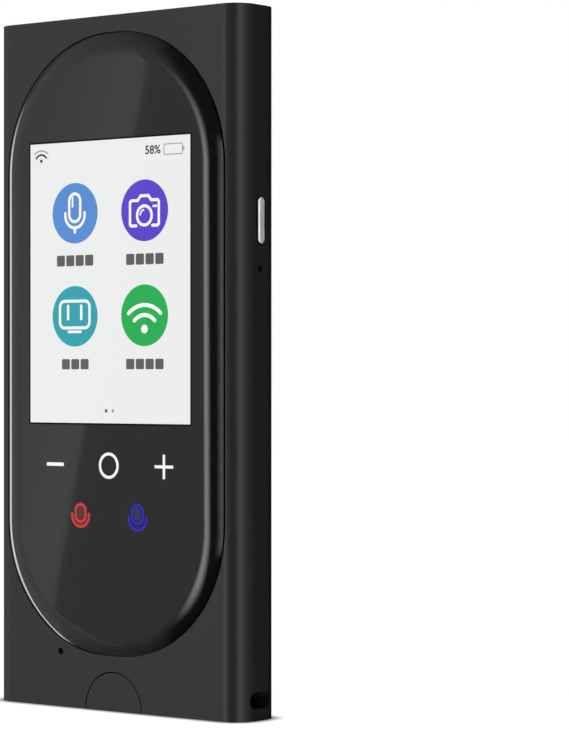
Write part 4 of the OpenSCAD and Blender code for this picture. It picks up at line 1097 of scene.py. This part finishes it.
# %% Weave recipe
def weave_recipe(material):
    r = Recipe("plain_weave", {
        "Pitch": ("Float", 0.0005), "Yarn Share": ("Float", 0.72), "Bulge": ("Float", 0.00006),
        "Width": ("Float", 0.03), "Height": ("Float", 0.016), "Fan Inner": ("Float", 0.009),
        "Fan Outer": ("Float", 0.022), "Fan Half Angle": ("Float", 0.95), "Axis Below": ("Float", 0.01),
    })
    pitch = r.get("Pitch")
    yarn = r.math("MULTIPLY", pitch, r.get("Yarn Share"))
    thickness = r.math("MULTIPLY", r.get("Bulge"), 0.8)
    spot = r.node("ShaderNodeSeparateXYZ", Vector=r.node("GeometryNodeInputPosition").outputs[0])

    def bar(sign):
        size = r.node("ShaderNodeCombineXYZ", X=pitch, Y=yarn, Z=thickness)
        cube = r.node("GeometryNodeMeshCube", Size=size.outputs[0], Vertices_X=5, Vertices_Y=3,
                      Vertices_Z=2)
        wave = r.math("COSINE", r.math("DIVIDE", r.math("MULTIPLY", spot.outputs["X"], math.pi), pitch))
        crown = r.math("SUBTRACT", 1, r.math("MULTIPLY", r.math("POWER", r.math(
            "DIVIDE", r.math("MULTIPLY", spot.outputs["Y"], 2), yarn), 2.0), 0.5))
        lift = r.math("MULTIPLY", r.math("MULTIPLY", wave, r.get("Bulge")), sign)
        up = r.math("ADD", lift, r.math("MULTIPLY", crown, r.math("MULTIPLY", thickness, 0.5)))
        offset = r.node("ShaderNodeCombineXYZ", Z=up)
        return r.node("GeometryNodeSetPosition", Geometry=cube.outputs["Mesh"], Offset=offset.outputs[0])

    over, under = bar(1), bar(-1)
    turned = r.node("GeometryNodeTransform", Geometry=under.outputs[0], Rotation=(0, 0, math.pi / 2))
    cross = r.node("GeometryNodeJoinGeometry")
    r.tree.links.new(over.outputs[0], cross.inputs[0])
    r.tree.links.new(turned.outputs[0], cross.inputs[0])

    across = r.math("ADD", r.math("FLOOR", r.math("DIVIDE", r.get("Width"), pitch)), 1)
    upward = r.math("ADD", r.math("FLOOR", r.math("DIVIDE", r.get("Height"), pitch)), 1)
    grid = r.node("GeometryNodeMeshGrid", Size_X=r.math("MULTIPLY", r.math("SUBTRACT", across, 1), pitch),
                  Size_Y=r.math("MULTIPLY", r.math("SUBTRACT", upward, 1), pitch),
                  Vertices_X=across, Vertices_Y=upward)
    up_from_axis = r.math("ADD", spot.outputs["Y"], r.get("Axis Below"))
    out_from_axis = r.math("SQRT", r.math("ADD", r.math("POWER", spot.outputs["X"], 2.0),
                                          r.math("POWER", up_from_axis, 2.0)))
    swing = r.math("ABSOLUTE", r.math("ARCTAN2", spot.outputs["X"], up_from_axis))
    outside = r.math("MAXIMUM", r.math("GREATER_THAN", out_from_axis, r.get("Fan Outer")),
                     r.math("LESS_THAN", out_from_axis, r.get("Fan Inner")))
    outside = r.math("MAXIMUM", outside, r.math("GREATER_THAN", swing, r.get("Fan Half Angle")))
    fan = r.node("GeometryNodeDeleteGeometry", {"domain": "POINT"}, Geometry=grid.outputs["Mesh"],
                 Selection=outside)
    place_x = r.math("ROUND", r.math("DIVIDE", r.math("ADD", spot.outputs["X"], 1.0), pitch))
    place_y = r.math("ROUND", r.math("DIVIDE", r.math("ADD", spot.outputs["Y"], 1.0), pitch))
    odd = r.math("FLOORED_MODULO", r.math("ADD", place_x, place_y), 2.0)
    quarter = r.node("ShaderNodeCombineXYZ", Z=r.math("MULTIPLY", odd, math.pi / 2))
    woven = r.node("GeometryNodeInstanceOnPoints", Points=fan.outputs[0], Instance=cross.outputs[0],
                   Rotation=quarter.outputs[0])
    r.finish(woven.outputs[0], material)
    return r


# %% Cloth behind the slots
CLOTH_PITCH, CLOTH_BULGE = 0.48 * mm, 0.05 * mm
FAN_INNER, FAN_OUTER, FAN_HALF_ANGLE = 9.2 * mm, 21.8 * mm, math.radians(54)
cloth_low, cloth_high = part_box("speaker_mesh")
cloth_mesh = weave_recipe(inner_finishes["mesh_fabric"]).make(
    "speaker_weave", Pitch=CLOTH_PITCH, Bulge=CLOTH_BULGE, Width=cloth_high.x - cloth_low.x - CLOTH_PITCH,
    Height=cloth_high.z - cloth_low.z - CLOTH_PITCH, Fan_Inner=FAN_INNER, Fan_Outer=FAN_OUTER,
    Fan_Half_Angle=FAN_HALF_ANGLE, Axis_Below=(cloth_low.z + cloth_high.z) / 2 - LENS_AXIS_Z)
face_outwards(cloth_mesh, Matrix.Translation((0, cloth_high.y, (cloth_low.z + cloth_high.z) / 2))
              @ Matrix.Rotation(math.pi / 2, 4, "X"))
place_piece("speaker_weave", cloth_mesh, None, "housing", ())
print("weave:", len(cloth_mesh.polygons), "faces")

# %% [markdown]
# ## Contacts of the charging port
# Under the port cover the socket's tongue carries twelve gilded contacts on each face, half a
# millimetre apart. They are one small bar set out along a line, once for each face.

# %% Contact recipe
def contact_recipe(material):
    r = Recipe("contact_row", {
        "Count": ("Int", 12), "Pitch": ("Float", 0.0005), "Width": ("Float", 0.00025),
        "Length": ("Float", 0.004), "Thickness": ("Float", 0.00006), "Face Apart": ("Float", 0.0007),
    })
    size = r.node("ShaderNodeCombineXYZ", X=r.get("Width"), Y=r.get("Thickness"), Z=r.get("Length"))
    bar = r.node("GeometryNodeMeshCube", Size=size.outputs[0], Vertices_X=2, Vertices_Y=2, Vertices_Z=4)
    span = r.math("MULTIPLY", r.math("SUBTRACT", r.get("Count"), 1), r.get("Pitch"))
    step = r.node("ShaderNodeCombineXYZ", X=r.get("Pitch"))
    both = r.node("GeometryNodeJoinGeometry")
    for side in (-0.5, 0.5):
        begin = r.node("ShaderNodeCombineXYZ", X=r.math("MULTIPLY", span, -0.5),
                       Y=r.math("MULTIPLY", r.get("Face Apart"), side))
        row = r.node("GeometryNodeMeshLine", {"mode": "OFFSET"}, Count=r.get("Count"),
                     Start_Location=begin.outputs[0], Offset=step.outputs[0])
        r.tree.links.new(row.outputs[0], both.inputs[0])
    contacts = r.node("GeometryNodeInstanceOnPoints", Points=both.outputs[0], Instance=bar.outputs[0])
    r.finish(contacts.outputs[0], material)
    return r


# %% Contacts and the tongue's dark sleeve
contact_gold = finish("contact_gold", (0.85, 0.6, 0.25), 0.22, metallic=1.0, grain=3000, depth=0.001 * mm)
port_low_corner, port_high_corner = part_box("usb_port")
port_y = (port_low_corner.y + port_high_corner.y) / 2
TONGUE_HALF = Vector((3.36, 0.36, 2.6)) * mm
tongue_z = port_low_corner.z + 1.0 * mm + TONGUE_HALF.z
contacts_mesh = contact_recipe(contact_gold).make("port_contacts", Length=3.6 * mm,
                                                  Face_Apart=2 * TONGUE_HALF.y)
face_outwards(contacts_mesh, Matrix.Translation((0, port_y, tongue_z - 0.4 * mm)))
place_piece("port_contacts", contacts_mesh, None, "housing", ())


def block(name, centre, half, material, width, body):
    """A moulded block with broken edges."""
    bm = bmesh.new()
    bmesh.ops.create_cube(bm, size=2.0)
    bmesh.ops.transform(bm, matrix=Matrix.Translation(centre) @ Matrix.Diagonal((*half, 1)),
                        verts=bm.verts)
    for face in bm.faces:
        face.smooth = True
    piece = place_piece(name, mesh_from(bm, name), material, body, ())
    break_edges(piece, width)


block("port_tongue", (0, port_y, tongue_z), TONGUE_HALF, inner_finishes["chip"], 0.1 * mm, "housing")
print("contacts:", len(contacts_mesh.polygons), "faces")

# %% [markdown]
# ## Solids that stay
# The inside parts are right as they are: boards, screws, battery, ribbons and seals. They keep their
# exact solids and only get their finishes, from the list by the name of their material slot.

# %% Finishes on the solids
stood_for = {"front_housing", "rear_cover", "port_flap", "camera_ring", "cover_glass", "power_button"}
for part in frame["record"]["subparts"]:
    if part["node"] not in stood_for:
        for material_slot in nodes[part["node"]].material_slots:
            material_slot.material = inner_finishes[part["material_slot"]]
print("solids finished:", len(nodes) - len(stood_for))

# %% [markdown]
# ## What shows through the glass
# The screen and the key legends sit right behind black printed glass. They are made as very thin
# sheets on the flat of the glass, which reads the same and keeps the picture crisp. Every shape is
# an outline in millimetres, cut like a sticker: a 2D curve is filled, given its thickness, turned
# into a mesh and stood upright.

# %% Outlines
ARC_STEP = 6
SHEET = 0.015 * mm


def arc(cx, cz, radius, start, end):
    """Points of an arc; angles in degrees, 0 to the right and 90 up."""
    steps = max(2, round(abs(end - start) / ARC_STEP))
    turn = [math.radians(start + (end - start) * i / steps) for i in range(steps + 1)]
    return [(cx + radius * math.cos(a), cz + radius * math.sin(a)) for a in turn]


def disc(cx, cz, radius):
    """A full circle."""
    return arc(cx, cz, radius, 0, 360)[:-1]


def bow(x, ends_z, top_z, half_width):
    """An arc given by its width, the height of its ends and its top."""
    height = top_z - ends_z
    radius = (half_width ** 2 + height ** 2) / (2 * height)
    half = math.degrees(math.asin(half_width / radius))
    return arc(x, top_z - radius, radius, 90 + half, 90 - half)


def rounded_box(low_x, low_z, high_x, high_z, radius):
    corners = ((high_x - radius, high_z - radius, 0), (low_x + radius, high_z - radius, 90),
               (low_x + radius, low_z + radius, 180), (high_x - radius, low_z + radius, 270))
    return [point for x, z, start in corners for point in arc(x, z, radius, start, start + 90)]


def line(points, width):
    """Outline of a drawn line of even width, with round ends."""
    half = width / 2
    path = [Vector(p) for p in points]
    ways = [(b - a).normalized() for a, b in zip(path, path[1:])]
    left, right = [], []
    for i, p in enumerate(path):
        before, after = ways[max(i - 1, 0)], ways[min(i, len(ways) - 1)]
        across = (before + after).normalized()
        normal = Vector((-across.y, across.x)) * half / max(0.5, across.dot(after))
        left.append(tuple(p + normal))
        right.append(tuple(p - normal))
    heading = math.degrees(math.atan2(ways[-1].y, ways[-1].x))
    tail = math.degrees(math.atan2(ways[0].y, ways[0].x))
    front_cap = arc(*path[-1], half, heading + 90, heading - 90)[1:-1]
    back_cap = arc(*path[0], half, tail - 90, tail - 270)[1:-1]
    return left + front_cap + right[::-1] + back_cap


def hollow(low_x, low_z, high_x, high_z, radius, pen):
    """A rounded box drawn as a line of even width."""
    return [rounded_box(low_x, low_z, high_x, high_z, radius),
            rounded_box(low_x + pen, low_z + pen, high_x - pen, high_z - pen, max(0.05, radius - pen))]


# %% Sheets cut from outlines
def cut_sheet(name, shapes, material, lift):
    """shapes is a list of shapes, each a list of outlines in mm; lift is mm ahead of the flat glass."""
    whole = bmesh.new()
    for outlines in shapes:
        curve = bpy.data.curves.new(name, "CURVE")
        curve.dimensions = "2D"
        curve.fill_mode = "BOTH"
        curve.extrude = SHEET / 2
        for outline in outlines:
            spline = curve.splines.new("POLY")
            spline.points.add(len(outline) - 1)
            for point, (x, z) in zip(spline.points, outline):
                point.co = (x * mm, z * mm, 0, 1)
            spline.use_cyclic_u = True
        holder = bpy.data.objects.new(name, curve)
        part = bpy.data.meshes.new_from_object(holder)
        whole.from_mesh(part)
        bpy.data.objects.remove(holder)
        bpy.data.curves.remove(curve)
        bpy.data.meshes.remove(part)
    stand_sheet(name, whole, material, lift)


def stand_sheet(name, bm, material, lift):
    """Stands a flat shape upright on the glass and makes it a piece."""
    bmesh.ops.remove_doubles(bm, verts=bm.verts, dist=0.0005 * mm)
    bmesh.ops.rotate(bm, verts=bm.verts, matrix=Matrix.Rotation(math.pi / 2, 3, "X"))
    bmesh.ops.translate(bm, verts=bm.verts, vec=(0, glass_low.y - lift * mm, 0))
    bmesh.ops.recalc_face_normals(bm, faces=bm.faces)
    place_piece(name, mesh_from(bm, name), material, "housing", ())


# %% [markdown]
# ## The screen
# The lit area is a plain white page with four round buttons, a status row and two page dots. The
# pictures in the buttons are ordinary ones: a microphone, a camera, a monitor and radio waves. The
# captions are left as blank blocks, because the device carries no words.

# %% Lit page
SCREEN_HALF_W, SCREEN_LOW, SCREEN_TOP = 18.37, 49.83, 98.79
BORDER = 0.3
PAGE_LIFT, ICON_LIFT, MARK_LIFT = 0.010, 0.026, 0.042

page_white = lit("page_white", srgb(235, 236, 236))
screen_border = finish("screen_border", (0.001, 0.001, 0.001), 0.2, grain=500, depth=0, specular=0.1)
cut_sheet("screen_border", [[rounded_box(-SCREEN_HALF_W - BORDER, SCREEN_LOW - BORDER,
                                         SCREEN_HALF_W + BORDER, SCREEN_TOP + BORDER, 0.25)]],
          screen_border, 0.0)
cut_sheet("screen_page", [[rounded_box(-SCREEN_HALF_W, SCREEN_LOW, SCREEN_HALF_W, SCREEN_TOP, 0.1)]],
          page_white, PAGE_LIFT)

# %% Round buttons on the page
ICON_RADIUS = 5.28
icons = (("voice", -7.8, 86.36, (84, 138, 210)), ("camera", 8.2, 86.3, (88, 64, 204)),
         ("monitor", -7.8, 68.4, (44, 160, 172)), ("waves", 8.2, 68.37, (33, 172, 80)))
for label, x, z, colour in icons:
    cut_sheet(f"icon_{label}", [[disc(x, z, ICON_RADIUS)]], lit(f"icon_{label}", srgb(*colour)),
              ICON_LIFT)
print("round buttons:", ", ".join(icon[0] for icon in icons))


# %% Pictures in the buttons
def microphone(capsule, cradle, pen, stem_low=None, shine=None):
    """capsule is (left, low, right, top); cradle is (left, low, right, height of its ends)."""
    left, low, right, top = capsule
    shapes = [hollow(left, low, right, top, (right - left) / 2 - 0.01, pen)]
    left, low, right, ends = cradle
    radius, x = (right - left - pen) / 2, (left + right) / 2
    z = low + pen / 2 + radius
    ends = max(ends, z + 0.01)
    shapes.append([line([(x - radius, ends)] + arc(x, z, radius, 180, 360) + [(x + radius, ends)], pen)])
    if stem_low is not None:
        shapes.append([line([(x, low + pen / 2), (x, stem_low + pen / 2)], pen)])
    if shine is not None:
        shapes.append([line(shine, pen * 0.7)])
    return shapes


def waves(x, bows, pen, dot_z, dot):
    """bows are (height of the ends, top, half width)."""
    return [[line(bow(x, *b), pen)] for b in bows] + [[disc(x, dot_z, dot)]]


def camera_body(low_corner, high_corner, cut, shoulder, hump, gap):
    """One line round a camera seen from the front, open at its foot between the two ends of the gap.
    Its corners are cut, and its sides end at the shoulder. hump is its left and right, the run of its
    slopes and its height."""
    (left, foot), (right, top) = low_corner, high_corner
    hump_left, hump_right, run, height = hump
    return [(gap[0], foot), (left + cut, foot), (left, foot + cut), (left, shoulder), (left + cut, top),
            (hump_left, top), (hump_left + run, top + height), (hump_right - run, top + height),
            (hump_right, top), (right - cut, top), (right, shoulder), (right, foot + cut),
            (right - cut, foot), (gap[1], foot)]


PEN = 0.52
camera_outline = camera_body(low_corner=(4.93, 83.7), high_corner=(11.42, 88.03), cut=0.27,
                             shoulder=87.75, hump=(6.7, 9.72, 0.63, 0.77), gap=(6.31, 9.97))
camera_lens = (8.17, 85.43)
picture_white = lit("picture_white", srgb(248, 248, 248))
pictures = {
    "voice": microphone((-9.4, 84.63, -6.3, 90.01), (-10.32, 83.55, -5.27, 86.4), PEN, 82.78,
                        [(-8.36, 87.56), (-8.36, 89.13)]),
    "camera": [[line(camera_outline, PEN)], [disc(*camera_lens, 1.9), disc(*camera_lens, 1.9 - PEN)],
               [line(arc(*camera_lens, 0.95, 100, 170), 0.3)],
               [line([(10.2, 86.97), (10.85, 86.97)], 0.4)]],
    "monitor": [hollow(-11.57, 66.12, -4.13, 71.31, 1.3, PEN)]
    + [[line([(x, 67.95), (x, 70.2)], PEN)] for x in (-9.4, -6.32)]
    + [[line([(-9.28, 65.7), (-6.44, 65.7)], 0.45)]],
    "waves": waves(8.2, ((68.75, 70.14, 3.6), (67.48, 68.43, 2.3)), 0.68, 66.03, 0.74),
}
for label, shapes in pictures.items():
    cut_sheet(f"picture_{label}", shapes, picture_white, MARK_LIFT)

# %% Status row, blank captions and page dots
ink = lit("screen_ink", srgb(52, 52, 54))
caption_ink = lit("caption_ink", srgb(92, 92, 94))
grey_ink = lit("screen_grey_ink", srgb(150, 154, 151))
red_ink = lit("screen_red_ink", srgb(186, 60, 50))


def caption(low_x, low_z, high_x, high_z, count=4, gap=0.34):
    """Blank caption: a row of plain rounded blocks."""
    width = (high_x - low_x + gap) / count - gap
    lefts = [low_x + i * (width + gap) for i in range(count)]
    return [[rounded_box(left, low_z, left + width, high_z, 0.25)] for left in lefts]


captions = (caption(-12.05, 77.15, -3.53, 79.05) + caption(4.04, 77.05, 12.47, 78.95)
            + caption(-10.86, 59.15, -4.62, 60.95, 3) + caption(4.04, 59.15, 12.47, 60.95))
cut_sheet("caption_blocks", captions, caption_ink, ICON_LIFT)
cut_sheet("status_waves", waves(-15.78, ((96.3, 96.88, 1.2),), 0.34, 95.79, 0.3), ink, ICON_LIFT)
cut_sheet("status_waves_faint", [[line(bow(-15.78, 97.0, 97.6, 1.6), 0.22)]], grey_ink, ICON_LIFT)
cut_sheet("status_battery", [hollow(12.47, 95.52, 16.73, 97.47, 0.35, 0.17),
                             [rounded_box(16.78, 96.1, 17.06, 96.88, 0.1)]],
          grey_ink, ICON_LIFT)
cut_sheet("page_dot_here", [[disc(-0.54, 51.97, 0.33)]], red_ink, ICON_LIFT)
cut_sheet("page_dot_next", [[disc(0.98, 51.98, 0.28)]], grey_ink, ICON_LIFT)


def number_sheet(text, low_x, low_z, high_x, high_z):
    """Plain digits from Blender's own font, fitted into a box in mm."""
    data = bpy.data.curves.new("status_number", "FONT")
    data.body = text
    data.size = 1 * mm
    data.extrude = SHEET / 2
    data.offset = 0.018 * mm
    data.resolution_u = 3
    holder = bpy.data.objects.new("status_number", data)
    part = bpy.data.meshes.new_from_object(holder)
    bm = bmesh.new()
    bm.from_mesh(part)
    bpy.data.objects.remove(holder)
    bpy.data.meshes.remove(part)
    left, right = min(v.co.x for v in bm.verts), max(v.co.x for v in bm.verts)
    low, high = min(v.co.y for v in bm.verts), max(v.co.y for v in bm.verts)
    wider, taller = (high_x - low_x) * mm / (right - left), (high_z - low_z) * mm / (high - low)
    bmesh.ops.translate(bm, verts=bm.verts, vec=(-left, -low, 0))
    bmesh.ops.scale(bm, verts=bm.verts, vec=(wider, taller, 1))
    bmesh.ops.translate(bm, verts=bm.verts, vec=(low_x * mm, low_z * mm, 0))
    stand_sheet("status_number", bm, ink, ICON_LIFT)


number_sheet("58%", 8.35, 95.83, 11.78, 97.35)

# %% [markdown]
# ## The key legends
# Three keys in white over two talk keys in red and blue. On the real device they are windows in the
# black print with coloured film and a lamp behind, so they glow, and the talk keys' film glows a
# little round its lines too.

# %% Lit legends
LEGEND_PEN = 0.52


def plus(x, z, size, pen):
    """A plus sign: one corner of it, turned by a quarter three times."""
    a, b = size / 2, pen / 2
    corner = [(-a, -b), (-b, -b), (-b, -a)]
    quarters = [corner, [(-z, x) for x, z in corner], [(-x, -z) for x, z in corner],
                [(z, -x) for x, z in corner]]
    return [(x + dx, z + dz) for quarter in quarters for dx, dz in quarter]


legend_white = lit("legend_white", srgb(246, 246, 246))
upper_row = [[rounded_box(-14.45, 42.25, -10.46, 42.85, 0.05)],
             [disc(0.03, 42.52, 2.28), disc(0.03, 42.52, 2.28 - LEGEND_PEN)],
             [plus(12.53, 42.55, 4.14, LEGEND_PEN)]]
cut_sheet("legend_upper_row", upper_row, legend_white, PAGE_LIFT)


TALK_PEN, TALK_GLOW = 0.4, 0.2


def talk_key(name, x, capsule, cradle, colours):
    """A microphone in lines of light over a dimmer glow of the same film, with a darker core."""
    line_colour, glow_colour, core_colour = colours
    (width, low, top), (cradle_w, cradle_low, ends) = capsule, cradle
    left, right = x - width / 2, x + width / 2
    radius, cradle_x = cradle_w / 2, x + 0.02
    bowl = arc(cradle_x, cradle_low + radius, radius + TALK_GLOW / 2, 180, 360)
    bowl = [(bowl[0][0], ends)] + bowl + [(bowl[-1][0], ends)]
    halo = rounded_box(left - TALK_GLOW, ends, right + TALK_GLOW, top + TALK_GLOW,
                       (width + TALK_GLOW) / 2)
    cut_sheet(f"{name}_glow", [[bowl], [halo]], lit(f"{name}_glow", srgb(*glow_colour)), PAGE_LIFT)
    cut_sheet(name, microphone((left, low, right, top),
                               (cradle_x - radius, cradle_low, cradle_x + radius, ends), TALK_PEN),
              lit(name, srgb(*line_colour)), ICON_LIFT)
    inset = TALK_PEN + 0.3
    core = rounded_box(left + inset, low + inset, right - inset, top - inset, width / 2 - inset - 0.03)
    cut_sheet(f"{name}_core", [[core]], lit(f"{name}_core", srgb(*core_colour)), ICON_LIFT)


# A capsule is its width, foot and top; a cradle is its width, foot and the height of its ends
talk_key("legend_talk_left", -6.5, (2.74, 32.45, 35.86), (4.31, 31.6, 34.1),
         ((188, 66, 70), (134, 6, 10), (72, 56, 34)))
talk_key("legend_talk_right", 6.6, (2.9, 32.5, 36.06), (4.37, 31.32, 34.0),
         ((46, 40, 150), (20, 8, 118), (46, 48, 84)))
